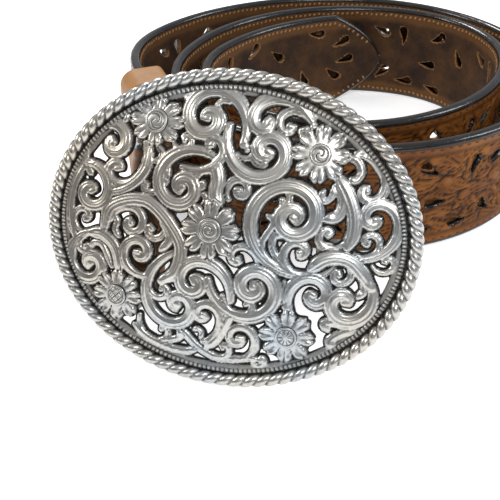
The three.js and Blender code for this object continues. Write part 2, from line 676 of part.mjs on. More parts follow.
function foldStation(share) {
  const thickness = lerp(returnThickness, strapThickness, share);
  const radius = barDiameter / 2 + fitGap + thickness / 2;
  const angle = Math.PI * share;
  const centre = barCentre.clone();
  centre.addScaledVector(leadOut, -radius * Math.cos(angle));
  centre.addScaledVector(leadAlong, -radius * Math.sin(angle));
  const along = leadAlong.clone().multiplyScalar(-Math.cos(angle)).addScaledVector(leadOut, Math.sin(angle));
  return station(centre, along, barAxis, strapWidth / 2, thickness / 2);
}

function strapStations() {
  const leadSteps = Math.ceil((leadLength + straightLength) / leadStep);
  const foldSteps = 6;
  const tipShares = [1, 0.75, 0.5, 0.3, 0.15, 0.06, 0.02, 0];
  const rollSteps = Math.ceil((rollLength - tipTaper) / stationStep);
  const stations = [];
  for (let i = leadSteps; i > 0; i -= 1) {
    stations.push(returnStation(((leadLength + straightLength) * i) / leadSteps));
  }
  for (let i = 0; i <= foldSteps; i += 1) stations.push(foldStation(i / foldSteps));
  for (let i = 1; i < leadSteps; i += 1) {
    stations.push(leadStation(((leadLength + straightLength) * i) / leadSteps));
  }
  for (let i = 0; i < rollSteps; i += 1) {
    stations.push(rollStation(((rollLength - tipTaper) * i) / rollSteps));
  }
  for (const share of tipShares) stations.push(rollStation(rollLength - tipTaper * share));
  return stations;
}

function strapBody() {
  const stations = strapStations();
  const count = stations.length;
  const geometry = new THREE.BoxGeometry(count - 1, 1, 1, count - 1, 1, 1);
  const place = geometry.attributes.position;
  for (let i = 0; i < place.count; i += 1) {
    const here = stations[Math.round(place.getX(i) + (count - 1) / 2)];
    const point = here.centre.clone();
    point.addScaledVector(here.width, 2 * place.getZ(i) * here.halfWidth);
    point.addScaledVector(here.out, 2 * place.getY(i) * here.halfThickness);
    place.setXYZ(i, point.x, point.y, point.z);
  }
  return toSolid(geometry);
}

// A cutter stands through the strap at a station, turned on the face and moved across it
function cutterAt(here, shape, across, turn, reachOut, reachIn) {
  const cutter = new THREE.ExtrudeGeometry(shape, {
    depth: reachOut + reachIn,
    bevelEnabled: false,
    curveSegments: 3,
    steps: 1,
  });
  cutter.translate(0, 0, -reachIn);
  cutter.rotateZ(radians(turn));
  const centre = here.centre.clone().addScaledVector(here.width, across);
  const back = here.along.clone().negate();
  const frame = new THREE.Matrix4().makeBasis(back, here.width, here.out);
  frame.setPosition(centre);
  cutter.applyMatrix4(frame);
  return toSolid(cutter);
}

function dropShape() {
  const round = dropWidth / 2;
  const shape = new THREE.Shape();
  shape.moveTo(dropLength - round, 0);
  shape.absarc(0, 0, round, radians(70), radians(290), false);
  shape.closePath();
  return shape;
}

// Round hole as a regular outline whose sides touch the named diameter
function roundShape(diameter) {
  const sides = 10;
  const reach = diameter / 2 / Math.cos(Math.PI / sides);
  const corners = [];
  for (let i = 0; i < sides; i += 1) {
    const angle = (2 * Math.PI * i) / sides;
    corners.push(new THREE.Vector2(reach * Math.cos(angle), reach * Math.sin(angle)));
  }
  return new THREE.Shape(corners);
}

const billetHoles = Array.from({ length: holeCount }, (_, i) => rollLength - lastHoleToTip - i * holePitch);

function clearOfHoles(along, across) {
  return billetHoles.every((hole) => Math.hypot(hole - along, across) > holeClear);
}

const keeperPlace = leadLength + straightLength - keeperSetBack;
const snapPlaces = snapShares.map((share) => share * (keeperPlace - keeperLength / 2));

function strapMesh() {
  const cutters = [];
  const through = strapThickness;
  for (const hole of billetHoles) {
    cutters.push(cutterAt(rollStation(hole), roundShape(holeDiameter), 0, 0, through, through));
  }
  const drop = dropShape();
  const addDrop = (along, place) => {
    const across = place.across * bandHalfWidth;
    if (clearOfHoles(along, across)) {
      cutters.push(cutterAt(rollStation(along), drop, across, place.turn, through, through));
    }
  };
  for (const place of tipDrops) addDrop(rollLength - place.fromTip * repeatLength, place);
  const tipPattern = 1.63 * repeatLength;
  for (let start = firstRepeat; start < rollLength; start += repeatLength) {
    for (const place of repeatDrops) {
      const along = start + place.along * repeatLength;
      if (along > plainAfterKeeper && along < rollLength - tipPattern) addDrop(along, place);
    }
  }
  const inside = outerBend + innerBend + returnThickness;
  for (const distance of snapPlaces) {
    const hole = roundShape(snapPost + 2 * snapGap);
    cutters.push(cutterAt(leadStation(distance), hole, 0, 0, through, inside));
  }
  let solid = strapBody();
  for (const cutter of cutters) solid = solid.subtract(cutter);
  return namedMesh('leather_strap', toGeometry(solid), leather);
}

// Snap: domed cap outside, post through both layers, flat base inside
function snapMesh(name, distance) {
  const lead = leadStation(distance);
  const back = returnStation(distance);
  const capFoot = strapThickness / 2 + snapGap;
  const baseTop = -lead.centre.distanceTo(back.centre) - returnThickness / 2 - snapGap;
  const profile = [
    new THREE.Vector2(0, baseTop - snapBaseHeight),
    new THREE.Vector2(snapBase / 2, baseTop - snapBaseHeight),
    new THREE.Vector2(snapBase / 2, baseTop),
    new THREE.Vector2(snapPost / 2, baseTop),
    new THREE.Vector2(snapPost / 2, capFoot),
    new THREE.Vector2(snapCap / 2, capFoot),
    new THREE.Vector2(snapCap / 2.6, capFoot + snapCapHeight * 0.7),
    new THREE.Vector2(0, capFoot + snapCapHeight),
  ];
  const geometry = new THREE.LatheGeometry(profile, 14);
  const mesh = namedMesh(name, geometry, steel);
  mesh.position.copy(lead.centre);
  mesh.quaternion.setFromUnitVectors(new THREE.Vector3(0, 1, 0), lead.out);
  return mesh;
}

// Outline with its own corner radius on the left and on the right side
function roundedRectangle(x0, y0, x1, y1, left, right, path) {
  path.moveTo(x0 + left, y0);
  path.lineTo(x1 - right, y0);
  path.absarc(x1 - right, y0 + right, right, -Math.PI / 2, 0, false);
  path.lineTo(x1, y1 - right);
  path.absarc(x1 - right, y1 - right, right, 0, Math.PI / 2, false);
  path.lineTo(x0 + left, y1);
  path.absarc(x0 + left, y1 - left, left, Math.PI / 2, Math.PI, false);
  path.lineTo(x0, y0 + left);
  path.absarc(x0 + left, y0 + left, left, Math.PI, 1.5 * Math.PI, false);
  path.closePath();
  return path;
}

// Keeper: a closed leather loop round both layers, with room outside for the billet
function keeperMesh() {
  const inSide = -(layerOffset + returnThickness / 2 + fitGap);
  const outSide = strapThickness / 2 + billetSlot;
  const high = strapWidth / 2 + keeperEase;
  const loop = (path, wall) => {
    const [left, right] = [keeperCorner + wall - keeperWall, keeperRounding + wall - keeperWall];
    return roundedRectangle(inSide - wall, -high - wall, outSide + wall, high + wall, left, right, path);
  };
  const outline = loop(new THREE.Shape(), keeperWall);
  outline.holes.push(loop(new THREE.Path(), 0));
  const geometry = new THREE.ExtrudeGeometry(outline, {
    depth: keeperLength,
    bevelEnabled: false,
    curveSegments: 3,
    steps: 1,
  });
  geometry.translate(0, 0, -keeperLength / 2);
  const mesh = namedMesh('keeper_loop', mergeVertices(geometry), paleLeather);
  const here = leadStation(keeperPlace);
  const frame = new THREE.Matrix4().makeBasis(here.out, here.width, here.along);
  mesh.quaternion.setFromRotationMatrix(frame);
  mesh.position.copy(here.centre);
  return mesh;
}

const belt = new THREE.Group();
belt.add(strapMesh());
belt.add(buckleMesh());
belt.add(keeperMesh());
snapPlaces.forEach((distance, i) => belt.add(snapMesh(`fold_snap_${i + 1}`, distance)));

// The origin is under the middle of the whole, on the surface that it stands on
belt.updateMatrixWorld(true);
const box = new THREE.Box3().setFromObject(belt, true);
const middle = box.getCenter(new THREE.Vector3());
belt.position.set(-middle.x, -middle.y, -box.min.z);

export default belt;
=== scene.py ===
import math

import bpy
import numpy as np
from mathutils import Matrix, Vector

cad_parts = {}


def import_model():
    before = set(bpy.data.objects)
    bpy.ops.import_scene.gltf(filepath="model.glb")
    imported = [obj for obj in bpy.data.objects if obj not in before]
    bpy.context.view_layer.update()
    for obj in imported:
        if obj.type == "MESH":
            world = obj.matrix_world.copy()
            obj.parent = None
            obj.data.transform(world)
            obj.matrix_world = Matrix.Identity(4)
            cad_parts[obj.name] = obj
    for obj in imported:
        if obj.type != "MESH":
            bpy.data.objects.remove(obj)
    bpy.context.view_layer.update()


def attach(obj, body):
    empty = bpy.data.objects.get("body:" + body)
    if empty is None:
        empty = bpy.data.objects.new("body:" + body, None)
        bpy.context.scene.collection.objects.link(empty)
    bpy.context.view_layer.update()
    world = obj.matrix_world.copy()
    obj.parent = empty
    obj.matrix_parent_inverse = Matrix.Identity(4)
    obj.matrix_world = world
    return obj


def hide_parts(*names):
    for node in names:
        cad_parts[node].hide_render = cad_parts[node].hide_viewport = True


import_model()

# Millimetres, in the plan in which the strap's course is drawn; SHIFT takes it to the part's own origin
MM = 0.001
SHIFT = np.array([-27.11443387124079, -215.1738443422996, 0.0000670580167181356])
FIT_GAP = 0.3

# Strap
STRAP_WIDTH = 38
STRAP_THICKNESS = 3.6
RETURN_THICKNESS = 2
LAYER_GAP = 0.35
FOLD_EASE = 14
TIP_TAPER = 20
TIP_CURVE = 0.52
TIP_FLAT = 5
EDGE_ROUND = 1.5
ROLL_RADIUS = 50
ROLL_START = (-37.8, 227.2)
ROLL_HEADING = math.radians(111)
LIFT_RELEASE = 60
FOLD_RUN = 8

# Arcs of the roll: sweep in degrees and radius as a share of the roll's
ROLL_ARCS = [
    (66, 1.1), (61, 1.7), (99, 1.28), (92, 1.4), (80, 1.08), (93, 1.38),
    (82, 0.84), (58, 1.38), (69, 1.0), (75, 0.76), (58.3, 1.48),
]

# Keeper loop, and snaps as shares of the free length before it
KEEPER_LENGTH = 13
KEEPER_WALL = 2
KEEPER_EASE = 0.8
BILLET_SLOT = 4.6
KEEPER_CORNER = 2.4
KEEPER_ROUNDING = 5.5
KEEPER_BEAD = 0.85
KEEPER_SET_BACK = 13
SNAP_SHARES = (0.47, 0.83)
SNAP_RADIUS = 6
SNAP_SINK = 0.5

# Stitches: side of the strap, pitch, length, distance past the band, lift, thickness and slant in degrees
FACE_STITCHES = (1, 3.0, 2.2, 2.3, -0.16, 0.30, 4)
LINING_STITCHES = (-1, 2.1, 1.5, 2.1, -0.12, 0.46, 52)
STITCH_SINK = 0.12
BURN_START, BURN_FULL = 17.0, 17.5
WORN_START, WORN_FULL = 12.5, 15.5
CARVE_DEPTH = 0.6
WALL_MIDDLE = 0.2

# Cut-outs: place along the repeat, place across as a share of the band's half width, turn in degrees
REPEAT = 51
BAND = 14.3
FIRST_REPEAT = -3
PLAIN_RUN = 12
DROPS = [
    (0, -0.49, -54), (0.12, 0.73, -108), (0.22, -0.77, -15), (0.41, -0.13, -12),
    (0.47, 0.78, -43), (0.49, -0.87, 0), (0.69, 0.22, 52), (0.98, 0.64, 15),
]
TIP_DROPS = [
    (0.266, 0.1, -25), (0.307, 0.66, -36), (0.366, -0.45, 30), (0.526, 0.89, 0),
    (0.646, -0.55, 60), (0.901, 0.4, 28), (1.161, 0.92, -49), (1.476, 0.85, -95),
]
TIP_PATTERN = 1.63
DROP_REACH = 5.7
DROP_HEAD = 1.8
DROP_POINT = 0.2
DROP_CURVE = 1.15
HOLE_RADIUS = 2.5
HOLE_PITCH = 25.4
HOLE_COUNT = 6
LAST_HOLE = 84.5
HOLE_CLEAR = 7

# Buckle
BUCKLE_WIDTH = 94.3
BUCKLE_HEIGHT = 78.4
BUCKLE_AT = (-5.6, 139.6)
LEAN = math.radians(62)
YAW = math.radians(-12.6)
ROPE = 1.55
ROPE_GROOVE = 0.28
STRAND_SINK, STRAND_RISE = 0.5, 0.74
STRANDS = 88
LEDGE = 1.75
BEAD = 0.8
BEAD_TOP = 1.6
LEDGE_TOP = 0.4
DOME_RISE = 3.5
DOME_FOOT = 1.3
PLATE = 1.6
BAR = 4
BAR_DEPTH = 9
BAR_OFFSET = 22.5
LEAD_SWING = math.radians(62)
HOOK = 5
HOOK_U, HOOK_V, HOOK_DEPTH = 25, -1, 7.6
CHART_WIDE, CHART_HIGH = 83.2, 67.8

# Scrolls of the filigree: eye, outer and eye radius, start angle, sweep, ribbon width, radius half way round
SCROLLS = [
    (-6.7, 27.3, 10.6, 1.4, -29, 560, 2.8, 0), (7.1, 27.8, 11, 1.2, 8, 400, 2.6, 2.4),
    (12.8, 27.5, 5.1, 1.1, 12, 340, 1.7, 0), (16.8, 27, 2.1, 1.3, 60, -240, 1.4, 0),
    (8.4, 21.3, 11, 1.3, 154, 540, 2.8, 3.4), (3.6, 20.9, 2.6, 1, 205, 280, 1.2, 0),
    (-4.9, 21.2, 9.2, 1.2, 221, 340, 1.9, 2.2), (-11.2, 10.4, 11, 1.5, 45, 560, 2.8, 3.5),
    (-11.9, 21.6, 2.9, 1.1, 200, 300, 1.4, 0), (-28.8, 12.8, 10, 1.2, 46, -400, 2, 2.4),
    (-30.4, 19, 9.8, 1.3, 235, -470, 2.6, 3.2), (-35.3, 6.2, 7.5, 1.2, 103, -430, 2.4, 0),
    (-36.9, -0.4, 3.9, 1, 258, -340, 1.4, 0), (-34.3, -12.3, 8.1, 1.4, 95, 500, 2.6, 3.2),
    (-36, -8, 2.4, 1.1, 95, 300, 1.4, 0), (-10, -19.3, 13.4, 1.6, 98, 510, 2.6, 3.6),
    (-14.6, -16, 4.4, 1, 122, 330, 1.4, 0), (-23.6, -0.3, 5.6, 1.2, 178, -420, 1.7, 0),
    (-18, -1, 6.2, 1, 114, -350, 1.5, 0), (-21, -7.3, 6.4, 1.1, -69, -470, 2, 0),
    (-14.2, -26.9, 6.8, 1, 153, 300, 1.5, 0), (-3.3, -20.9, 7.4, 1.1, -88, 420, 2, 2.4),
    (2.2, -29.3, 3.2, 0.9, 215, 280, 1.3, 0), (5.9, -25.9, 5.8, 1.2, -80, 450, 1.9, 0),
    (11.8, -31, 2, 1, 180, 260, 1.1, 0), (-6.2, -13, 10, 1.3, -19, 500, 2.7, 3),
    (8.5, -12, 11.4, 1.5, 179, 640, 2.8, 3.5), (7.2, -16.6, 6.2, 1, 168, 250, 1.6, 0),
    (3, 11.3, 3.7, 1.1, 226, -410, 1.7, 0), (-6.2, 12, 3.6, 1, 42, 260, 1.6, 0),
    (4.4, -5.3, 4.8, 1.1, -9, 310, 1.5, 0), (16.3, 6.2, 15, 1.5, -60, -710, 2.9, 4.5),
    (30.6, -13, 7.6, 1.3, 36, -400, 2.8, 0), (13.3, 10, 12, 1.2, 245, -340, 1.5, 2.6),
    (18.7, -2, 9.4, 1.2, -7, -440, 1.7, 2.8), (28.8, -6.3, 4.6, 1.1, 160, -420, 1.5, 0),
    (25, 2.9, 6.2, 1.1, 48, -370, 1.6, 0), (35.2, 8, 10.2, 1.1, -100, 460, 2.2, 2.9),
    (32.8, 14.2, 9.3, 1.1, 113, -370, 1.9, 2.3), (34.6, 2.4, 4.4, 0.9, 224, 400, 1.3, 0),
    (39.2, -2, 3.4, 0.8, 200, 340, 1.1, 0), (23.4, -12.1, 7.3, 1.3, 222, -430, 2.5, 0),
    (-20.2, 9.8, 9, 0.9, 65, -290, 1.5, 1.8),
]

# Stems and leaves of the filigree: ribbon width and the places that each passes through
STEMS = [
    (2.4, [(-20.6, 18.5), (-21, 14), (-23.5, 10.3), (-27, 8), (-30.8, 7)]),
    (2, [(-38.2, 12.5), (-40.2, 8), (-41, 3), (-40.6, -2), (-39.3, -5.8)]),
    (1.4, [(-34.5, -8), (-33.3, -6.6), (-31, -7.3), (-28.3, -12.3)]),
    (2.8, [(-31.3, -3.5), (-29, 3.6), (-19.5, 5.6), (-10.8, -3), (-11, -10.5), (-14.8, -13.8)]),
    (1.3, [(-28.9, 1.5), (-27.6, -0.3), (-28, -2.4), (-26.8, -4.2)]),
    (1.8, [(-15.8, 1.5), (-13.8, -0.8), (-13.3, -3.2), (-15.3, -5.8)]),
    (2.6, [(-26, -13.5), (-26.7, -9.5), (-28.3, -6.3), (-31.5, -4.2), (-35, -4.2)]),
    (1.8, [(-21.5, -26.8), (-18, -29.5), (-13, -31.2), (-8, -31.8), (-5, -31)]),
    (1.6, [(-14.5, -29.8), (-11.5, -29.3), (-9, -28), (-9.3, -26.3)]),
    (1.8, [(-8.5, -25.8), (-6, -28.7), (-2.5, -31), (2, -32.2), (10.8, -30.8)]),
    (1, [(-5.6, -25.5), (-4.6, -25), (-3.4, -26), (-3.8, -27.5)]),
    (2.4, [(3.6, -19.5), (2.4, -22.5), (0.6, -26.5), (-1.8, -29.3)]),
    (3, [(-3.8, 17), (-2.6, 13.5), (-2.8, 10), (-2, 7)]),
    (1.2, [(-5.8, 9.5), (-5, 8), (-5.8, 5.8)]),
    (1.4, [(4.6, 19.6), (6.2, 18), (7.8, 17.6), (8.4, 18.8)]),
    (1.3, [(10.3, 6), (12, 4.5), (9.7, -0.5), (10.5, -3.5), (13.5, -6)]),
    (1.5, [(14.8, 1.5), (12.8, 1.6), (12, -0.5), (13, -3.2), (15.8, -5.5)]),
    (2.8, [(25.6, 16.8), (28.2, 13.4), (30.2, 9), (30.8, 4.5), (29.8, 0.5)]),
    (2.8, [(22, -5.6), (24.5, -3.2), (28, -2.1), (32, -3.3), (36.7, -8.5)]),
    (2.3, [(26.3, 14.3), (27.6, 11.3), (26.8, 8), (24.2, 6.7)]),
    (1.3, [(25, 14.8), (24.8, 12.3), (23.4, 11), (22.4, 12.2), (22.7, 13.3)]),
    (1.5, [(27, 21.8), (29.6, 21), (30.8, 18.6), (29.8, 16.6), (28.6, 16.8)]),
    (1.6, [(16, -9.5), (15.8, -13), (17.3, -17)]),
    (2, [(35.8, -17.3), (32, -18.6), (28.5, -18.3), (26.6, -19), (27.6, -20.4)]),
    (2.1, [(34.5, -19.3), (31, -20.8), (28.5, -23), (29, -24.8)]),
    (1.7, [(31, -4.2), (33.8, -6.2), (35, -9.2), (33.8, -11.3)]),
    (1.1, [(-30, 24.3), (-28.8, 26.5), (-27.6, 26.2), (-27.8, 24.5)]),
    (1.4, [(-18.8, 19.5), (-17.3, 18), (-18, 16), (-19.3, 15.8)]),
    (1.2, [(-1.3, 31.5), (-3.6, 31.9), (-5, 30.5), (-4, 29.2)]),
    (1.2, [(-8.5, 33), (-11.5, 32.6), (-13, 31.4)]),
]

# Flowers: centre, reach of the petals, height for width, centre disc, what is engraved on the disc
FLOWERS = [
    (-19.5, 25.5, 7.5, 0.84, 2.8, "swirl"), (20.9, 21.7, 7.2, 1, 2.4, "swirl"),
    (-3.3, 0.8, 7.7, 1, 2.9, "spiral"), (-26.5, -19.4, 7, 1, 2.6, "lattice"),
    (17.8, -23.5, 7.2, 1, 2.6, "rays"),
]
PETALS = 8
LEAF_BROAD = 1.3
SCROLL_STEP = 9
STEM_STEPS = 8

# Grooves along a ribbon: depth, place across it, width, and the half widths between which it fades in
RIBBON_GROOVES = [(0.30, 0.30, 0.12, 0.45, 0.8), (0.16, -0.42, 0.11, 0.7, 1.1), (0.14, 0.74, 0.08, 0.8, 1.1)]
SKIRT = 0.42

# How finely the pieces are meshed, in millimetres and counts
FACE_COLUMNS, FACE_STEP, FACE_LEAD_STEP = 56, 0.8, 1.2
LINING_COLUMNS, LINING_STEP, LINING_LEAD_STEP = 50, 0.8, 1.3
RETURN_COARSER = 1.6
FOLD_STEPS = 12
TIP_STATIONS = 30
EDGE_STEPS = 9
TILE_STEP = 0.2
PLATE_STEP = 0.31
PLATE_MARGIN = 1.2
RIBBON_MARGIN = 2.5
CUT_MARGIN = 0.08

STITCH_RINGS, STITCH_SIDES = 5, 6
DISC_RINGS, DISC_SIDES = 22, 72
STRAND_STEPS, ROPE_SIDES = 10, 26
BEADS, BEAD_STEPS, RIB_STEPS = 230, 8, 9
TUBE_RINGS, TUBE_SIDES = 40, 20
KEEPER_TURN_STEPS, KEEPER_SIDE_STEPS, KEEPER_STEP = 12, 20, 1.4
SNAP_SIDES, CAP_STEPS = 48, 14

# Distances where nothing has been measured yet
NOWHERE = 1e9
FAR = 9.0


def smooth(x, low, high):
    """Eased step from 0 at low to 1 at high."""
    share = np.clip((x - low) / (high - low), 0, 1)
    return share * share * (3 - 2 * share)


def unit(v):
    """Vectors of length one in the same directions."""
    return v / np.linalg.norm(v, axis=-1, keepdims=True)


def turns(count):
    """Angles of evenly spaced places round a circle."""
    return np.arange(count) / count * 2 * math.pi


def add_object(name, data):
    thing = bpy.data.objects.new(name, data)
    bpy.context.scene.collection.objects.link(thing)
    return thing


# Buckle frame: u to the right of the face, v up the face, w out of the face
ROPE_U = BUCKLE_WIDTH / 2 - ROPE
ROPE_V = BUCKLE_HEIGHT / 2 - ROPE
BUCKLE_ORIGIN = np.array([*BUCKLE_AT, ROPE_V * math.sin(LEAN) + ROPE + ROPE_GROOVE])
YAWED = [[math.cos(YAW), -math.sin(YAW), 0], [math.sin(YAW), math.cos(YAW), 0], [0, 0, 1]]
LEANT = [[1, 0, 0], [0, math.cos(LEAN), -math.sin(LEAN)], [0, math.sin(LEAN), math.cos(LEAN)]]
TURN = np.array(YAWED) @ np.array(LEANT)


def from_buckle(points):
    return np.asarray(points, float) @ TURN.T + BUCKLE_ORIGIN


def oval(angle, offset):
    normal = unit(np.stack([np.cos(angle) / ROPE_U, np.sin(angle) / ROPE_V], -1))
    middle = np.stack([ROPE_U * np.cos(angle), ROPE_V * np.sin(angle)], -1)
    return middle + normal * np.asarray(offset)[..., None]


FIELD_OFFSET = -(ROPE + LEDGE + BEAD)
FIELD_U = ROPE_U + FIELD_OFFSET
FIELD_V = ROPE_V + FIELD_OFFSET
SQUARE_U = 2 * FIELD_U / CHART_WIDE
SQUARE_V = 2 * FIELD_V / CHART_HIGH
SQUARE = (SQUARE_U + SQUARE_V) / 2


def dome(u, v):
    return DOME_FOOT + DOME_RISE * (1 - np.minimum(1, np.hypot(u / FIELD_U, v / FIELD_V)) ** 2)


# Course of the strap
UP = np.array([0.0, 0.0, 1.0])
BAR_CENTRE = from_buckle([-BAR_OFFSET, 0, -BAR_DEPTH])
BAR_AXIS = TURN @ np.array([0, 1, 0])
LEAD_ALONG = TURN @ np.array([-math.cos(LEAD_SWING), 0, -math.sin(LEAD_SWING)])
LEAD_OUT = np.cross(BAR_AXIS, LEAD_ALONG)
OUTER_BEND = BAR / 2 + FIT_GAP + STRAP_THICKNESS / 2
INNER_BEND = BAR / 2 + FIT_GAP + RETURN_THICKNESS / 2
LAYER_OFFSET = STRAP_THICKNESS / 2 + LAYER_GAP + RETURN_THICKNESS / 2
KEEPER_LIFT = KEEPER_WALL + KEEPER_EASE + STRAP_WIDTH / 2
ROLL_ALONG = np.array([math.cos(ROLL_HEADING), math.sin(ROLL_HEADING), 0])
STRAIGHT = KEEPER_SET_BACK + KEEPER_LENGTH / 2 + 1
LEAD_END = np.array([*ROLL_START, KEEPER_LIFT]) - ROLL_ALONG * STRAIGHT
LEAD_START = BAR_CENTRE + LEAD_OUT * OUTER_BEND
REACH = np.linalg.norm(LEAD_END - LEAD_START) / 3
LEAD_KNOTS = [LEAD_START, LEAD_START + LEAD_ALONG * REACH, LEAD_END - ROLL_ALONG * REACH, LEAD_END]


def bezier(t):
    t = np.asarray(t)[:, None]
    a, b, c, d = LEAD_KNOTS
    return a * (1 - t) ** 3 + 3 * b * t * (1 - t) ** 2 + 3 * c * t * t * (1 - t) + d * t ** 3


SHARES = np.linspace(0, 1, 2001)
TRAVEL = np.concatenate([[0], np.cumsum(np.linalg.norm(np.diff(bezier(SHARES), axis=0), axis=1))])
LEAD_LENGTH = TRAVEL[-1]
LEAD_TOTAL = LEAD_LENGTH + STRAIGHT
ROLL_LENGTH = sum(math.radians(sweep) * share * ROLL_RADIUS for sweep, share in ROLL_ARCS)
KEEPER_PLACE = LEAD_TOTAL - KEEPER_SET_BACK
SNAP_PLACES = [share * (KEEPER_PLACE - KEEPER_LENGTH / 2) for share in SNAP_SHARES]
HOLES = [ROLL_LENGTH - LAST_HOLE - i * HOLE_PITCH for i in range(HOLE_COUNT)]


def framed(centre, along, up):
    """Centre, run, width and outward direction at each place of the course."""
    width = unit(up - along * np.sum(up * along, -1, keepdims=True))
    return centre, along, width, np.cross(width, along)


def lead_frames(distance):
    """Frames from the bar to the start of the roll: a curve, then straight through the keeper."""
    distance = np.atleast_1d(np.asarray(distance, float))
    share = np.minimum(1, distance / LEAD_LENGTH)
    t = np.interp(share * LEAD_LENGTH, TRAVEL, SHARES)
    centre = bezier(t) + ROLL_ALONG * np.maximum(0, distance - LEAD_LENGTH)[:, None]
    small = 1e-4
    along = unit(bezier(np.minimum(t + small, 1)) - bezier(np.maximum(t - small, 0)))
    mix = smooth(share, 0, 1)[:, None]
    return framed(centre, along, BAR_AXIS * (1 - mix) + UP * mix)


def return_frames(distance):
    """Frames of the thin flap folded back under the lead."""
    centre, along, width, out = lead_frames(distance)
    ease = smooth(np.asarray(distance, float), 0, FOLD_EASE)
    offset = (OUTER_BEND + INNER_BEND) * (1 - ease) + LAYER_OFFSET * ease
    return framed(centre - out * offset[:, None], -along, width)


def fold_frames(share):
    """Frames and thickness round the bar."""
    thickness = RETURN_THICKNESS + (STRAP_THICKNESS - RETURN_THICKNESS) * share
    radius = (BAR / 2 + FIT_GAP + thickness / 2)[:, None]
    angle = (math.pi * share)[:, None]
    centre = BAR_CENTRE - LEAD_OUT * radius * np.cos(angle) - LEAD_ALONG * radius * np.sin(angle)
    along = -LEAD_ALONG * np.cos(angle) + LEAD_OUT * np.sin(angle)
    return (*framed(centre, along, np.tile(BAR_AXIS, (len(share), 1))), thickness)


def roll_frames(distance):
    """Frames along the arcs of the roll, which settles from the keeper's height to the floor."""
    x, y = ROLL_START
    heading = ROLL_HEADING
    start = 0.0
    centre = np.zeros((len(distance), 3))
    headings = np.zeros(len(distance))
    for k, (sweep, share) in enumerate(ROLL_ARCS):
        radius = share * ROLL_RADIUS
        length = math.radians(sweep) * radius
        last = k == len(ROLL_ARCS) - 1
        here = (distance >= start - 1e-9) & ((distance < start + length) | last)
        turn = (distance[here] - start) / radius
        centre[here, 0] = x + radius * (math.sin(heading) - np.sin(heading - turn))
        centre[here, 1] = y + radius * (np.cos(heading - turn) - math.cos(heading))
        headings[here] = heading - turn
        full = math.radians(sweep)
        x += radius * (math.sin(heading) - math.sin(heading - full))
        y += radius * (math.cos(heading - full) - math.cos(heading))
        heading -= full
        start += length
    centre[:, 2] = KEEPER_LIFT + (STRAP_WIDTH / 2 - KEEPER_LIFT) * smooth(distance, 0, LIFT_RELEASE)
    along = np.stack([np.cos(headings), np.sin(headings), 0 * headings], -1)
    return framed(centre, along, np.tile(UP, (len(distance), 1)))


def half_of_roll(distance):
    """Half width of the strap, which narrows in one curve to the rounded point."""
    share = np.clip((ROLL_LENGTH - distance) / TIP_TAPER, 0, 1)
    return np.maximum(TIP_FLAT / 2, STRAP_WIDTH / 2 * share ** TIP_CURVE)


def course(roll_step, lead_step):
    """Every station of the strap: its frame, half width, half thickness and run along the roll."""
    back = np.linspace(LEAD_TOTAL, 0, int(LEAD_TOTAL / (RETURN_COARSER * lead_step)) + 1)
    fold = np.linspace(0, 1, FOLD_STEPS + 1)[1:-1]
    lead = np.linspace(0, LEAD_TOTAL, int(LEAD_TOTAL / lead_step) + 1)[:-1]
    body_length = ROLL_LENGTH - TIP_TAPER
    body = np.linspace(0, body_length, int(body_length / roll_step) + 1)[:-1]
    tip = ROLL_LENGTH - TIP_TAPER * np.linspace(1, 0, TIP_STATIONS) ** 2
    roll = np.concatenate([body, tip])
    folded = fold_frames(fold)
    parts = [return_frames(back), folded[:4], lead_frames(lead), roll_frames(roll)]
    columns = [np.concatenate([part[i] for part in parts]) for i in range(4)]
    before = len(back) + len(fold) + len(lead)
    half_width = np.concatenate([np.full(before, STRAP_WIDTH / 2), half_of_roll(roll)])
    whole = np.full(len(lead) + len(roll), STRAP_THICKNESS / 2)
    half_thick = np.concatenate([np.full(len(back), RETURN_THICKNESS / 2), folded[4] / 2, whole])
    flap = -LEAD_TOTAL - FOLD_RUN - back
    bend = -LEAD_TOTAL - FOLD_RUN * (1 - fold)
    run = np.concatenate([flap, bend, lead - LEAD_TOTAL, roll])
    return (*columns, half_width, half_thick, run)


# Meshes
def make_piece(name, points, faces, materials, attributes=None, face_material=None):
    """Smooth mesh of the points in the plan's millimetres, with a value per point for each attribute."""
    mesh = bpy.data.meshes.new(name)
    mesh.from_pydata(((points + SHIFT) * MM).tolist(), [], faces)
    for material in materials:
        mesh.materials.append(material)
    if face_material is not None:
        mesh.polygons.foreach_set("material_index", np.asarray(face_material, np.int32))
    mesh.polygons.foreach_set("use_smooth", np.full(len(mesh.polygons), True))
    for key, values in (attributes or {}).items():
        layer = mesh.attributes.new(key, "FLOAT", "POINT")
        layer.data.foreach_set("value", np.asarray(values, np.float32))
    mesh.validate()
    return add_object(name, mesh)


def grid_faces(rows, columns, closed_rows=False, closed_columns=False, first=0):
    """Quads of a grid of rows by columns, wrapped where it is closed."""
    i = np.arange(rows if closed_rows else rows - 1)
    j = np.arange(columns if closed_columns else columns - 1)
    i, j = [g.ravel() for g in np.meshgrid(i, j, indexing="ij")]
    k, m = (i + 1) % rows, (j + 1) % columns
    corners = [i * columns + j, k * columns + j, k * columns + m, i * columns + m]
    return (first + np.stack(corners, -1)).tolist()


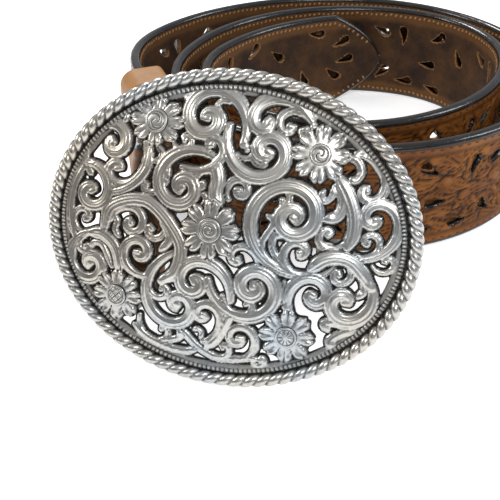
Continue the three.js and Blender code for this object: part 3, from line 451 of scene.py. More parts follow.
def pierced(depth):
    """Cells of a grid where depth is above zero, cut along its zero line: places, faces and the cut edges."""
    solid = depth > 0
    index = np.full(depth.shape, -1)
    index[solid] = np.arange(solid.sum())
    places = [np.argwhere(solid).astype(float)]
    corner = [solid[:-1, :-1], solid[1:, :-1], solid[1:, 1:], solid[:-1, 1:]]
    total = sum(c.astype(int) for c in corner)
    full = np.argwhere(total == 4)
    i, j = full[:, 0], full[:, 1]
    faces = np.stack([index[i, j], index[i + 1, j], index[i + 1, j + 1], index[i, j + 1]], -1).tolist()
    crossings, extra, rims = {}, [], []
    count = int(solid.sum())
    for i, j in np.argwhere((total > 0) & (total < 4)):
        ring = [(i, j), (i + 1, j), (i + 1, j + 1), (i, j + 1)]
        polygon, cuts = [], []
        for k in range(4):
            a, b = ring[k], ring[(k + 1) % 4]
            if solid[a]:
                polygon.append(int(index[a]))
            if solid[a] != solid[b]:
                key = (a, b) if a < b else (b, a)
                if key not in crossings:
                    (i0, j0), (i1, j1) = key
                    share = depth[key[0]] / (depth[key[0]] - depth[key[1]])
                    share = np.clip(share, CUT_MARGIN, 1 - CUT_MARGIN)
                    extra.append((i0 + share * (i1 - i0), j0 + share * (j1 - j0)))
                    crossings[key] = count + len(extra) - 1
                polygon.append(crossings[key])
                cuts.append((crossings[key], bool(solid[a])))
        for n, (vertex, leaving) in enumerate(cuts):
            if leaving:
                rims.append((vertex, cuts[(n + 1) % len(cuts)][0]))
        faces.append(polygon)
    if extra:
        places.append(np.array(extra))
    return np.concatenate(places), faces, rims


def at(values, place):
    """Values of a list at fractional places."""
    low = np.clip(np.floor(place).astype(int), 0, len(values) - 2)
    share = place - low
    if values.ndim > 1:
        share = share[:, None]
    return values[low] * (1 - share) + values[low + 1] * share


def on_grid(values, place):
    """Values of a grid at fractional places, evenly between the four around each."""
    i = np.clip(np.floor(place[:, 0]).astype(int), 0, values.shape[0] - 2)
    j = np.clip(np.floor(place[:, 1]).astype(int), 0, values.shape[1] - 2)
    a, b = place[:, 0] - i, place[:, 1] - j
    low = values[i, j] * (1 - a) + values[i + 1, j] * a
    high = values[i, j + 1] * (1 - a) + values[i + 1, j + 1] * a
    return low * (1 - b) + high * b


def blurred(values, radius):
    """Values of a grid after three box averages in each direction."""
    for _ in range(3):
        for axis in (0, 1):
            pad = [(0, 0), (0, 0)]
            pad[axis] = (radius + 1, radius)
            total = np.cumsum(np.pad(values, pad, mode="edge"), axis=axis)
            size = values.shape[axis]
            upper = np.take(total, np.arange(2 * radius + 1, 2 * radius + 1 + size), axis=axis)
            values = (upper - np.take(total, np.arange(size), axis=axis)) / (2 * radius + 1)
    return values


def chain_field(x, y, chain):
    """Distance to a tapered chain, below zero inside, share of its half width, side, run and half width."""
    best = np.full(x.shape, NOWHERE)
    middle, side, travel, width = (np.zeros(x.shape) for _ in range(4))
    run = 0.0
    for (ax, ay, ah), (bx, by, bh) in zip(chain[:-1], chain[1:]):
        dx, dy = bx - ax, by - ay
        length = math.hypot(dx, dy)
        if length < 1e-9:
            continue
        share = np.clip(((x - ax) * dx + (y - ay) * dy) / length ** 2, 0, 1)
        away = np.hypot(x - ax - dx * share, y - ay - dy * share)
        half = ah + (bh - ah) * share
        near = away - half < best
        best = np.where(near, away - half, best)
        middle = np.where(near, away / half, middle)
        side = np.where(near, np.sign((x - ax) * dy - (y - ay) * dx), side)
        travel = np.where(near, run + share * length, travel)
        width = np.where(near, half, width)
        run += length
    return best, middle, side, travel, width


# Node materials
def put(tree, kind, inputs=(), **settings):
    """Node with its settings, its inputs linked to sockets or set to values."""
    node = tree.nodes.new(kind)
    for key, value in settings.items():
        setattr(node, key, value)
    for key, value in dict(inputs).items():
        if isinstance(value, bpy.types.NodeSocket):
            tree.links.new(value, node.inputs[key])
        else:
            node.inputs[key].default_value = value
    return node


def calc(tree, operation, a, b, clamp=False):
    return put(tree, "ShaderNodeMath", {0: a, 1: b}, operation=operation, use_clamp=clamp).outputs[0]


def plus(tree, base, value, share, clamp=False):
    """The base and a share of the value."""
    return calc(tree, "ADD", base, calc(tree, "MULTIPLY", value, share), clamp)


def blend(tree, share, *colours):
    """The first colour mixed with the second by the share."""
    a, b = [colour if isinstance(colour, bpy.types.NodeSocket) else (*colour, 1) for colour in colours]
    return put(tree, "ShaderNodeMix", {0: share, 6: a, 7: b}, data_type="RGBA").outputs[2]


def attribute(tree, name):
    return put(tree, "ShaderNodeAttribute", attribute_name=name).outputs["Fac"]


def noise(tree, place, scale, detail=3.0, rough=0.55):
    inputs = {"Vector": place, "Scale": scale, "Detail": detail, "Roughness": rough}
    return put(tree, "ShaderNodeTexNoise", inputs).outputs["Fac"]


def spread(tree, value, low, high):
    """The value's stretch from low to high as 0 to 1."""
    return put(tree, "ShaderNodeMapRange", {0: value, 1: low, 2: high}, clamp=True).outputs[0]


def start_material(name):
    material = bpy.data.materials.new(name)
    material.use_nodes = True
    tree = material.node_tree
    place = put(tree, "ShaderNodeTexCoord").outputs["Object"]
    return material, tree, tree.nodes["Principled BSDF"], place


def finish_material(tree, shader, colour, roughness, height, strength, distance):
    bump = put(tree, "ShaderNodeBump", {"Height": height, "Strength": strength, "Distance": distance})
    tree.links.new(colour, shader.inputs["Base Color"])
    tree.links.new(roughness, shader.inputs["Roughness"])
    tree.links.new(bump.outputs[0], shader.inputs["Normal"])


# Noise scales, in cells to the metre, from broad clouds to fine grain
TARNISH, TINT, LINING_CLOUD, FACE_CLOUD, NATURAL_CLOUD, EDGE_CLOUD, WEAR = 22, 45, 70, 90, 160, 220, 600
SPECK, FIBRE, FACE_GRAIN, NATURAL_GRAIN, METAL_GRAIN, TWIST = 900, 1300, 1500, 1600, 2200, 2400

# Tints of the silver: pale, cool and warm
SILVER_TINTS = ((0.55, 0.525, 0.475), (0.46, 0.51, 0.55), (0.50, 0.43, 0.34))


def silver_material(name, light, dark):
    """Cast silver in three tints, darkened in its recesses by oxide and by painted shade; light and dark set
    the two ends.
    """
    material, tree, shader, place = start_material(name)
    pale, cool, warm = [tuple(part * light for part in tint) for tint in SILVER_TINTS]
    tint = blend(tree, spread(tree, noise(tree, place, TINT, 2), 0.35, 0.65), pale, cool)
    tarnish = calc(tree, "MULTIPLY", spread(tree, noise(tree, place, TARNISH, 2), 0.42, 0.62), 0.7)
    tint = blend(tree, tarnish, tint, warm)
    speck = spread(tree, noise(tree, place, SPECK, 4, 0.7), 0.45, 0.8)
    # Painted shade and oxide: the recess attribute and random dark specks blend the silver towards near black
    # in its hollows
    grime_and_shade = plus(tree, attribute(tree, "recess"), speck, 0.35, clamp=True)
    colour = blend(tree, grime_and_shade, tint, (dark, dark * 0.95, dark * 0.88))
    shader.inputs["Metallic"].default_value = 1.0
    grain = noise(tree, place, METAL_GRAIN, 3)
    finish_material(tree, shader, colour, plus(tree, 0.30, grime_and_shade, 0.3), grain, 0.12, 0.00008)
    return material


def tooled_material():
    """Orange brown leather, dark in the carving and burnt towards the cut edges."""
    material, tree, shader, place = start_material("tooled_leather")
    grain = noise(tree, place, FACE_GRAIN, 4, 0.65)
    cloud = spread(tree, noise(tree, place, FACE_CLOUD, 3), 0.3, 0.7)
    base = blend(tree, cloud, (0.15, 0.046, 0.008), (0.27, 0.098, 0.018))
    deep = plus(tree, attribute(tree, "carve"), calc(tree, "SUBTRACT", grain, 0.5), 0.35, clamp=True)
    colour = blend(tree, deep, base, (0.010, 0.004, 0.002))
    colour = blend(tree, attribute(tree, "burn"), colour, (0.012, 0.008, 0.006))
    shader.inputs["Specular IOR Level"].default_value = 0.14
    finish_material(tree, shader, colour, plus(tree, 0.34, grain, 0.28), grain, 0.35, 0.0002)
    return material


def edge_material():
    """Near black edge paint, glossy and a little worn."""
    material, tree, shader, place = start_material("painted_edge")
    cloud = noise(tree, place, EDGE_CLOUD, 4, 0.6)
    worn = spread(tree, noise(tree, place, WEAR, 3), 0.6, 0.85)
    colour = blend(tree, cloud, (0.004, 0.003, 0.0025), (0.016, 0.012, 0.009))
    colour = blend(tree, calc(tree, "MULTIPLY", worn, 0.4), colour, (0.13, 0.10, 0.08))
    finish_material(tree, shader, colour, plus(tree, 0.1, cloud, 0.22), cloud, 0.4, 0.0004)
    return material


def lining_material():
    """Dark suede, worn lighter along its edges and tan round the cut-outs."""
    material, tree, shader, place = start_material("suede_lining")
    cloud = noise(tree, place, LINING_CLOUD, 4, 0.65)
    fibre = noise(tree, place, FIBRE, 5, 0.75)
    worn = plus(tree, calc(tree, "MULTIPLY", cloud, 0.75), fibre, 0.3)
    worn = plus(tree, worn, attribute(tree, "border"), 0.34)
    colour = blend(tree, spread(tree, worn, 0.42, 0.78), (0.020, 0.009, 0.0045), (0.11, 0.048, 0.014))
    tan = calc(tree, "MULTIPLY", attribute(tree, "rim"), spread(tree, fibre, 0.3, 0.6), clamp=True)
    colour = blend(tree, tan, colour, (0.42, 0.20, 0.07))
    shader.inputs["Specular IOR Level"].default_value = 0.25
    finish_material(tree, shader, colour, plus(tree, 0.62, fibre, 0.3), fibre, 0.5, 0.0003)
    return material


def tan_material():
    """Natural leather of the keeper, darker along its creased lines."""
    material, tree, shader, place = start_material("natural_leather")
    grain = noise(tree, place, NATURAL_GRAIN, 4, 0.7)
    cloud = spread(tree, noise(tree, place, NATURAL_CLOUD, 4, 0.6), 0.3, 0.7)
    colour = blend(tree, cloud, (0.26, 0.11, 0.024), (0.36, 0.17, 0.042))
    colour = blend(tree, calc(tree, "MULTIPLY", grain, 0.35), colour, (0.22, 0.09, 0.03))
    colour = blend(tree, attribute(tree, "rim"), colour, (0.20, 0.085, 0.03))
    finish_material(tree, shader, colour, plus(tree, 0.4, grain, 0.25), grain, 0.3, 0.0002)
    return material


def thread_material(name, light, dark):
    material, tree, shader, place = start_material(name)
    twist = noise(tree, place, TWIST, 3, 0.7)
    colour = blend(tree, spread(tree, twist, 0.3, 0.7), dark, light)
    finish_material(tree, shader, colour, plus(tree, 0.55, twist, 0.3), twist, 0.5, 0.0002)
    return material


SILVER = silver_material("antique_silver", 1.0, 0.028)
ROPE_SILVER = silver_material("rope_silver", 1.0, 0.03)
STEEL = silver_material("snap_steel", 0.8, 0.08)
TOOLED = tooled_material()
PAINTED = edge_material()
LINING = lining_material()
NATURAL = tan_material()
DARK_THREAD = thread_material("dark_thread", (0.05, 0.022, 0.010), (0.016, 0.008, 0.005))
TAN_THREAD = thread_material("tan_thread", (0.46, 0.23, 0.07), (0.20, 0.09, 0.03))


# Tooling: one repeat of acanthus leaves round the cut-outs, as a field on a fine grid
# Leaves: foot along and across the repeat, heading in degrees, bend in radians and length
LEAVES = [
    (4.0, 12.5, 195, -1.3, 20), (12.0, -12.8, 12, 1.2, 20), (16.5, 5.0, 222, -1.9, 22),
    (22.0, 13.0, 190, 1.0, 18), (24.0, -8.5, 150, 1.8, 21), (33.0, 6.5, 212, -1.7, 22),
    (38.5, -10.5, 150, 1.5, 20), (43.5, 12.5, 200, -1.2, 18), (47.5, 1.5, 205, -1.8, 22),
    (9.0, -2.0, 150, 1.9, 20), (30.5, -13.2, 172, 0.9, 16),
]
LEAF_HALF = 1.5
LEAF_STEPS = 10
SEAM_WIDTH = 0.4
GROOVE_START = 0.45
GROOVE_PERIOD = 1.35
VEIN_PLACE, VEIN_WIDTH = -0.9, 0.24
DROP_TAIL = 1.6
TAIL_RISE = 0.06


def drop_chain(x, y, turn, tail=0.0):
    """Comma of a cut-out: round head, curved point, and where asked a tail beyond it."""
    t = math.radians(turn)
    along, across = np.array([-math.cos(t), math.sin(t)]), np.array([math.sin(t), math.cos(t)])
    chain = []
    for share in np.linspace(0, 1 + tail, 12 if tail else 7):
        place = np.array([x, y]) + along * DROP_REACH * share + across * DROP_CURVE * (share ** 2 - 0.25)
        half = DROP_HEAD + (DROP_POINT - DROP_HEAD) * min(1, share) ** 1.1
        chain.append((place[0], place[1], half))
    return chain


def leaf_chain(x, y, heading, bend, length):
    """Middle line and half width of one curved leaf."""
    chain = []
    angle = math.radians(heading)
    step = length / LEAF_STEPS
    for k in range(LEAF_STEPS + 1):
        share = k / LEAF_STEPS
        belly = math.sin(math.pi * min(1, 0.25 + share)) ** 0.6
        chain.append((x, y, LEAF_HALF * belly * (1 - share) ** 0.5 + 0.12))
        x += math.cos(angle) * step
        y += math.sin(angle) * step
        angle += bend / LEAF_STEPS
    return chain


def tooling_tile():
    """Depth of the carving over one repeat: grooves round each leaf, seams between them and veins."""
    xs = np.arange(0, REPEAT, TILE_STEP)
    ys = np.arange(-BAND - 1, BAND + 1 + TILE_STEP, TILE_STEP)
    x, y = np.meshgrid(xs, ys, indexing="ij")
    first, second, travel = np.full(x.shape, FAR), np.full(x.shape, FAR), np.zeros(x.shape)
    chains = [drop_chain(along * REPEAT, across * BAND, turn, DROP_TAIL) for along, across, turn in DROPS]
    for chain in chains + [leaf_chain(*leaf) for leaf in LEAVES]:
        nearest, run = np.full(x.shape, NOWHERE), np.zeros(x.shape)
        for shift in (-REPEAT, 0, REPEAT):
            moved = [(cx + shift, cy, half) for cx, cy, half in chain]
            distance, _, _, walked, _ = chain_field(x, y, moved)
            distance = distance + TAIL_RISE * walked
            near = distance < nearest
            nearest = np.where(near, distance, nearest)
            run = np.where(near, walked, run)
        near = nearest < first
        second = np.where(near, first, np.minimum(second, nearest))
        travel = np.where(near, run, travel)
        first = np.where(near, nearest, first)
    seam = np.exp(-((second - first) / SEAM_WIDTH) ** 2)
    wave = np.cos(2 * math.pi * (first - GROOVE_START) / GROOVE_PERIOD)
    groove = np.clip(wave, 0, 1) ** 1.4 * (1 - 0.3 * smooth(first, 2.0, 4.0))
    vein = np.exp(-((first - VEIN_PLACE) / VEIN_WIDTH) ** 2) * smooth(travel, 1, 3)
    return np.clip(0.95 * seam + 1.05 * groove * smooth(first, -0.1, 0.3) + 0.8 * vein, 0, 1)


TILE = tooling_tile()


def tooling(run, across):
    """Depth of the carving, 0 to 1, at a place of the strap."""
    place = np.stack([np.mod(run - FIRST_REPEAT, REPEAT) / TILE_STEP, (across + BAND + 1) / TILE_STEP], -1)
    place[:, 0] = np.minimum(place[:, 0], TILE.shape[0] - 1.001)
    flower = on_grid(TILE, place)
    field = smooth(run, PLAIN_RUN - 3, PLAIN_RUN) * (1 - smooth(np.abs(across), BAND - 0.3, BAND + 0.2))
    border = np.exp(-((np.abs(across) - BAND - 0.35) / 0.38) ** 2)
    inner = 0.55 * np.exp(-((np.abs(across) - BAND - 1.5) / 0.22) ** 2)
    return np.clip(flower * field + border + inner, 0, 1)


# Strap
def cut_depth(run, across):
    """Distance from the nearest cut-out at every place of a grid, below zero inside one."""
    depth = np.full(run.shape, FAR)
    lines = run[:, 0]

    def add(centre, chain):
        rows = np.nonzero(np.abs(lines - centre) < 12)[0]
        if len(rows):
            part = slice(rows[0], rows[-1] + 1)
            found = chain_field(run[part], across[part], chain)[0]
            depth[part] = np.minimum(depth[part], found)

    def add_drop(centre, share, turn):
        place = share * BAND
        if all(math.hypot(hole - centre, place) > HOLE_CLEAR for hole in HOLES):
            add(centre, drop_chain(centre, place, turn))

    for hole in HOLES:
        add(hole, [(hole - 0.01, 0, HOLE_RADIUS), (hole + 0.01, 0, HOLE_RADIUS)])
    for from_tip, share, turn in TIP_DROPS:
        add_drop(ROLL_LENGTH - from_tip * REPEAT, share, turn)
    start = FIRST_REPEAT
    while start < ROLL_LENGTH:
        for along, share, turn in DROPS:
            centre = start + along * REPEAT
            if PLAIN_RUN < centre < ROLL_LENGTH - TIP_PATTERN * REPEAT:
                add_drop(centre, share, turn)
        start += REPEAT
    return depth


def strap_layer(roll_step, lead_step, columns):
    """Stations and the cut grid of one face of the strap."""
    centre, _, width, out, half_width, half_thick, run = course(roll_step, lead_step)
    edge = np.minimum(EDGE_ROUND, 0.95 * half_thick)
    shares = np.linspace(-1, 1, columns)
    across = shares[None, :] * (half_width - edge)[:, None]
    places, faces, rims = pierced(cut_depth(np.repeat(run[:, None], columns, 1), across))
    s, c = places[:, 0], places[:, 1]
    y = np.interp(c, np.arange(columns), shares) * at(half_width - edge, s)
    frames = [at(values, s) for values in (centre, width, out, half_thick, run)]
    return (centre, width, out, half_width, half_thick, run, edge), places, faces, rims, y, frames


def walls(points, inner, faces, rims, flip):
    """Sides of the cut-outs, from the rim down to a second rim."""
    count = len(points)
    names, fresh = {}, []
    for a, b in rims:
        for vertex in (a, b):
            if vertex not in names:
                names[vertex] = count + len(fresh)
                fresh.append(inner[vertex])
    for a, b in rims:
        quad = [b, a, names[a], names[b]]
        faces.append(quad[::-1] if flip else quad)
    return np.concatenate([points, np.array(fresh).reshape(-1, 3)]), list(names)


def rim_share(count, rims):
    """1 at the rims of the cut-outs and 0 at the other places."""
    share = np.zeros(count)
    share[[vertex for pair in rims for vertex in pair]] = 1
    return share


def tooled_strap():
    """Carved face with the sides of its cut-outs, and the painted edge rounded over to the lining."""
    layer = strap_layer(FACE_STEP, FACE_LEAD_STEP, FACE_COLUMNS)
    stations, places, faces, rims, y, (centre, width, out, thick, run) = layer
    carve = tooling(run, y)
    stitch = np.exp(-((np.abs(y) - BAND - FACE_STITCHES[3]) / 0.3) ** 2)
    sink = CARVE_DEPTH * carve + STITCH_SINK * stitch
    points = centre + width * y[:, None] + out * (thick - sink)[:, None]
    middle = centre + width * y[:, None] - out * (thick * WALL_MIDDLE)[:, None]
    faces = [face[::-1] for face in faces]
    face_total = len(faces)
    points, lower = walls(points, middle, faces, rims, True)
    wall_total = len(faces) - face_total
    burn = smooth(np.abs(y), BURN_START, BURN_FULL) * 0.9 + 0.35 * rim_share(len(places), rims)
    mid, wide, normal, half_width, half_thick, _, edge = stations
    rows = len(mid)
    grid = {(int(i), int(j)): n for n, (i, j) in enumerate(places) if i == int(i) and j == int(j)}
    for side, column in ((1, FACE_COLUMNS - 1), (-1, 0)):
        first = len(points)
        for k in range(1, EDGE_STEPS + 1):
            angle = math.radians(90 - 180 * (k / EDGE_STEPS))
            lift = (half_thick - edge) * math.copysign(1, angle)
            reach = half_width - edge + edge * math.cos(angle)
            place = mid + wide * (side * reach)[:, None] + normal * (lift + edge * math.sin(angle))[:, None]
            points = np.concatenate([points, place])
        rings = [[grid[(i, column)] for i in range(rows)]]
        rings += [list(range(first + k * rows, first + (k + 1) * rows)) for k in range(EDGE_STEPS)]
        for ring, below in zip(rings[:-1], rings[1:]):
            for i in range(rows - 1):
                quad = [ring[i], ring[i + 1], below[i + 1], below[i]]
                faces.append(quad if side < 0 else quad[::-1])
        if side > 0:
            ends = [[ring[i] for ring in rings] for i in (0, rows - 1)]
        else:
            ends = [end + [ring[i] for ring in rings[::-1]] for end, i in zip(ends, (0, rows - 1))]
    for end, i in zip(ends, (0, rows - 1)):
        cap = end + [grid[(i, j)] for j in range(1, FACE_COLUMNS - 1)]
        faces.append(cap if i == 0 else cap[::-1])
    extra = len(points) - len(places) - len(lower)
    values = {"carve": np.concatenate([carve, carve[lower], np.zeros(extra)]),
              "burn": np.concatenate([burn, np.full(len(lower), 0.75), np.ones(extra)])}
    kinds = np.ones(len(faces), int)
    kinds[:face_total] = 0
    kinds[face_total:face_total + wall_total] = 1
    return make_piece("tooled_strap", points, faces, [TOOLED, PAINTED], values, kinds)


def strap_lining():
    """Suede back of the strap with its side of the cut-outs."""
    layer = strap_layer(LINING_STEP, LINING_LEAD_STEP, LINING_COLUMNS)
    _, places, faces, rims, y, (centre, width, out, thick, _) = layer
    points = centre + width * y[:, None] - out * thick[:, None]
    middle = centre + width * y[:, None] - out * (thick * WALL_MIDDLE)[:, None]
    points, lower = walls(points, middle, faces, rims, False)
    values = {"rim": np.concatenate([rim_share(len(places), rims), np.full(len(lower), 0.25)]),
              "border": np.concatenate([smooth(np.abs(y), WORN_START, WORN_FULL), np.zeros(len(lower))])}
    return make_piece("strap_lining", points, faces, [LINING], values)


def stitch_row(name, material, outward, pitch, length, beyond, lift, thickness, slant):
    """Rows of short stitches along both edges of one face of the strap."""
    places = np.arange(8, ROLL_LENGTH - 6, pitch)
    places = np.concatenate([-LEAD_TOTAL + np.arange(10, LEAD_TOTAL, pitch), places])
    inset = STRAP_WIDTH / 2 - BAND - beyond
    lead = places < 0
    pairs = zip(lead_frames(places[lead] + LEAD_TOTAL), roll_frames(places[~lead]))
    frames = [np.concatenate(pair) for pair in pairs]
    half = half_of_roll(places) - inset
    points, faces = [], []
    rng = np.random.default_rng(7)
    for side in (-1, 1):
        for n in range(len(places)):
            centre, along, width, out = [f[n] for f in frames]
            tilt = math.radians(slant + rng.normal(0, 7))
            run = along * math.cos(tilt) + width * math.sin(tilt) * side
            cross = np.cross(out, run)
            middle = centre + width * side * (half[n] + rng.normal(0, 0.12))
            middle = middle + out * outward * (STRAP_THICKNESS / 2 + lift)
            reach = length * (0.5 + rng.uniform(-0.08, 0.08))
            first = len(points)
            for t in np.linspace(-1, 1, STITCH_RINGS):
                radius = thickness * (1 - 0.75 * t * t) ** 0.5
                drop = -0.55 * thickness * t * t
                for angle in turns(STITCH_SIDES):
                    points.append(middle + run * reach * t + cross * radius * 1.15 * math.cos(angle)
                                  + out * outward * (radius * math.sin(angle) + drop))
            last = len(points)
            ring_faces = grid_faces(STITCH_RINGS, STITCH_SIDES, closed_columns=True, first=first)
            ring_faces.append(list(range(first, first + STITCH_SIDES))[::-1])
            ring_faces.append(list(range(last - STITCH_SIDES, last)))
            faces.extend(ring_faces if outward < 0 else [f[::-1] for f in ring_faces])
    return make_piece(name, np.array(points), faces, [material])


# Buckle
def ribbon_chains():
    """Middle line and half width of every ribbon, and the side to which it curls."""
    chains = []
    for u, v, outer, eye, start, sweep, width, half in SCROLLS:
        steps = math.ceil(abs(sweep) / SCROLL_STEP)
        low, high = math.log(outer), math.log(eye)
        bend = math.log(half) - (low + high) / 2 if half else 0
        chain = []
        for i in range(steps + 1):
            share = i / steps
            radius = math.exp(low + (high - low) * share + 4 * bend * share * (1 - share))
            angle = math.radians(start + sweep * share)
            size = LEAF_BROAD * width / 2 * SQUARE * min(1, 0.6 + 3 * share, 0.5 + 1.6 * (1 - share))
            across, up = u + radius * math.cos(angle), v + radius * math.sin(angle)
            chain.append((across * SQUARE_U, up * SQUARE_V, size))
        chain.append((u * SQUARE_U, v * SQUARE_V, 0.7 * eye * SQUARE))
        chains.append((chain, 1 if sweep > 0 else -1))
    for width, through in STEMS:
        knots = np.array([(u * SQUARE_U, v * SQUARE_V) for u, v in through])
        ends = np.concatenate([[2 * knots[0] - knots[1]], knots, [2 * knots[-1] - knots[-2]]])
        steps = STEM_STEPS * (len(knots) - 1)
        chain = []
        for i in range(steps + 1):
            k = min(i // STEM_STEPS, len(knots) - 2)
            t = i / STEM_STEPS - k
            a, b, c, d = ends[k:k + 4]
            square, cube = 2 * a - 5 * b + 4 * c - d, 3 * b - a - 3 * c + d
            place = 0.5 * (2 * b + (c - a) * t + square * t * t + cube * t ** 3)
            size = LEAF_BROAD * width / 2 * SQUARE * min(1, 0.6 + 3 * min(i, steps - i) / steps)
            chain.append((place[0], place[1], size))
        chains.append((chain, 1))
    return chains


def plate_field():
    """Height of the filigree above the dome, and the distance into the metal, on a grid."""
    us, vs = [np.arange(-half - PLATE_MARGIN, half + PLATE_MARGIN + PLATE_STEP, PLATE_STEP)
              for half in (FIELD_U, FIELD_V)]
    u, v = np.meshgrid(us, vs, indexing="ij")
    height, depth = np.full(u.shape, -FAR), np.full(u.shape, FAR)
    for n, (chain, turn) in enumerate(ribbon_chains()):
        knots = np.array(chain)
        part = tuple(slice(*np.searchsorted(grid, [line.min() - RIBBON_MARGIN, line.max() + RIBBON_MARGIN]))
                     for grid, line in ((us, knots[:, 0]), (vs, knots[:, 1])))
        distance, share, side, travel, half = chain_field(u[part], v[part], chain)
        length = np.hypot(*np.diff(knots[:, :2], axis=0).T).sum()
        signed = share * side * turn
        crown = 0.32 + 0.52 * half
        body = crown * (1 - 0.30 * share ** 2 - 0.34 * np.clip(share, 0, 1.3) ** 8)
        groove = sum(deep * np.exp(-((signed - across) / wide) ** 2) * smooth(half, thin, full)
                     for deep, across, wide, thin, full in RIBBON_GROOVES)
        ticks = 0.14 * np.clip(np.cos(2 * math.pi * travel / 0.95), 0, 1) * smooth(signed, 0.78, 0.9)
        # Each ribbon ends in a small button, and neighbours stand at slightly different levels
        end = smooth(length - travel, 0, 2.2)
        level = 0.16 * math.sin(2.4 * n)
        rise = body - (groove + ticks) * end + 0.22 * (1 - end) + level * smooth(half, 0.3, 0.8)
        rise = np.where(distance < 0.02, rise, -FAR)
        height[part] = np.maximum(height[part], rise)
        depth[part] = np.minimum(depth[part], distance - SKIRT)
    for fu, fv, reach, squash, _, _ in FLOWERS:
        du, dv = u - fu * SQUARE_U, (v - fv * SQUARE_V) / squash
        radius, angle = np.hypot(du, dv), np.arctan2(dv, du)
        phase = np.mod(angle * PETALS / (2 * math.pi) + 0.5, 1) - 0.5
        notch = np.exp(-(phase / 0.07) ** 2)
        outline = reach * SQUARE * (0.92 + 0.08 * np.cos(PETALS * angle) - 0.07 * notch)
        share = radius / outline
        cleft = np.exp(-((np.abs(phase) - 0.5) / (0.035 + 0.05 * smooth(share, 0.7, 0.9))) ** 2)
        vein = np.exp(-(phase / 0.035) ** 2) * smooth(share, 0.5, 0.62)
        curl = np.exp(-((np.abs(phase) - 0.24) / 0.12) ** 2) * smooth(share, 0.68, 0.88)
        rise = 1.15 - 0.15 * share - 0.65 * cleft * smooth(share, 0.5, 0.62) - 0.22 * vein
        rise += 0.26 * curl - 0.45 * smooth(share, 0.9, 1.02) - 0.25 * notch * smooth(share, 0.75, 0.9)
        rise = np.where(share < 1.0, rise, -FAR)
        height = np.where(share < 1.0, np.maximum(rise, height - 0.35), height)
        depth = np.minimum(depth, radius - outline - 0.2)
    peg = np.hypot(u - HOOK_U, v - HOOK_V) - HOOK / 2
    height = np.maximum(height, np.where(peg < 0, 0.35, -FAR))
    depth = np.minimum(depth, peg)
    oval_share = np.hypot(u / FIELD_U, v / FIELD_V)
    slope = np.hypot(u / FIELD_U ** 2, v / FIELD_V ** 2) / np.maximum(oval_share, 0.1)
    to_rim = (1 - oval_share) / slope
    band = 0.45 - 0.3 * smooth(to_rim, 0.0, 0.9)
    height = np.where(to_rim < 0.9, np.maximum(height, band), height)
    depth = np.minimum(depth, to_rim - 0.55)
    outer = to_rim + 0.75
    return us, vs, np.where(height > -FAR / 2, height, 0.0), -np.maximum(depth, -outer)


def buckle_plate():
    """Domed and pierced filigree, dark in its hollows, along its cut edges and underneath, partly oxide and
    partly painted shade.
    """
    us, vs, height, metal = plate_field()
    soft = blurred(height, 1)
    # Painted shade and oxide: hollows found from the blurred height, as ambient occlusion would, and the cut
    # edges are darkened
    recess = np.clip((blurred(height, 4) - soft) * 3.2 + (soft - height) * 4.5, 0, 1)
    recess = np.clip(recess + np.clip(1 - metal / 0.40, 0, 1) * 0.75, 0, 1)
    places, faces, rims = pierced(metal)
    u = np.interp(places[:, 0], np.arange(len(us)), us)
    v = np.interp(places[:, 1], np.arange(len(vs)), vs)
    rise = on_grid(height, places)
    top = np.stack([u, v, dome(u, v) + rise - 0.3], -1)
    low = np.stack([u, v, dome(u, v) - PLATE], -1)
    count = len(top)
    points = from_buckle(np.concatenate([top, low]))
    under = [[vertex + count for vertex in face[::-1]] for face in faces]
    sides = [[b, a, a + count, b + count] for a, b in rims]
    # The underside is darkened as well: oxide and painted shade
    dark = np.concatenate([on_grid(recess, places), np.full(count, 0.8)])
    return make_piece("buckle_plate", points, faces + under + sides, [SILVER], {"recess": dark})


def flower_discs():
    """Centre disc of each flower, engraved with its emblem inside a ring."""
    made = []
    for n, (fu, fv, _, _, disc, emblem) in enumerate(FLOWERS):
        size = disc * SQUARE
        radius = np.concatenate([np.linspace(0.02, 1, DISC_RINGS), [1.06, 1.10]])
        angle = np.linspace(0, 2 * math.pi, DISC_SIDES, endpoint=False)
        r, a = np.meshgrid(radius, angle, indexing="ij")
        x, y = r * np.cos(a), r * np.sin(a)
        if emblem == "swirl":
            cut = np.exp(-((np.mod(a / math.pi - 1.7 * r, 1) - 0.5) / 0.13) ** 2) * smooth(r, 0.05, 0.2)
        elif emblem == "spiral":
            cut = np.exp(-((np.mod(a / (2 * math.pi) - 1.9 * r, 1) - 0.5) / 0.14) ** 2) * smooth(r, 0.08, 0.2)
        elif emblem == "lattice":
            cut = np.maximum(np.cos(9 * (x + y)), np.cos(9 * (x - y))) ** 6
        else:
            cut = np.clip(np.cos(10 * a), 0, 1) ** 2 * smooth(r, 0.22, 0.34)
        cut = cut * (1 - smooth(r, 0.66, 0.74))
        ring_cut = np.exp(-((r - 0.78) / 0.05) ** 2)
        rise = 1.35 + 0.28 * (1 - r * r) - 0.2 * cut - 0.22 * ring_cut
        rise = np.where(r > 1.0, np.where(r > 1.08, 0.3, 1.0), rise)
        u, v = fu * SQUARE_U + size * x, fv * SQUARE_V + size * y
        points = np.stack([u, v, dome(u, v) + rise], -1).reshape(-1, 3)
        faces = grid_faces(len(radius), DISC_SIDES, closed_columns=True) + [list(range(DISC_SIDES))]
        # Darker in the engraving, in the ring and at the disc's foot: partly oxide, partly painted shade
        dark = {"recess": np.clip(0.85 * cut + 0.8 * ring_cut + smooth(r, 1.0, 1.06), 0, 1).ravel()}
        made.append(make_piece(f"flower_disc_{n + 1}", from_buckle(points), faces, [SILVER], dark))
    return made


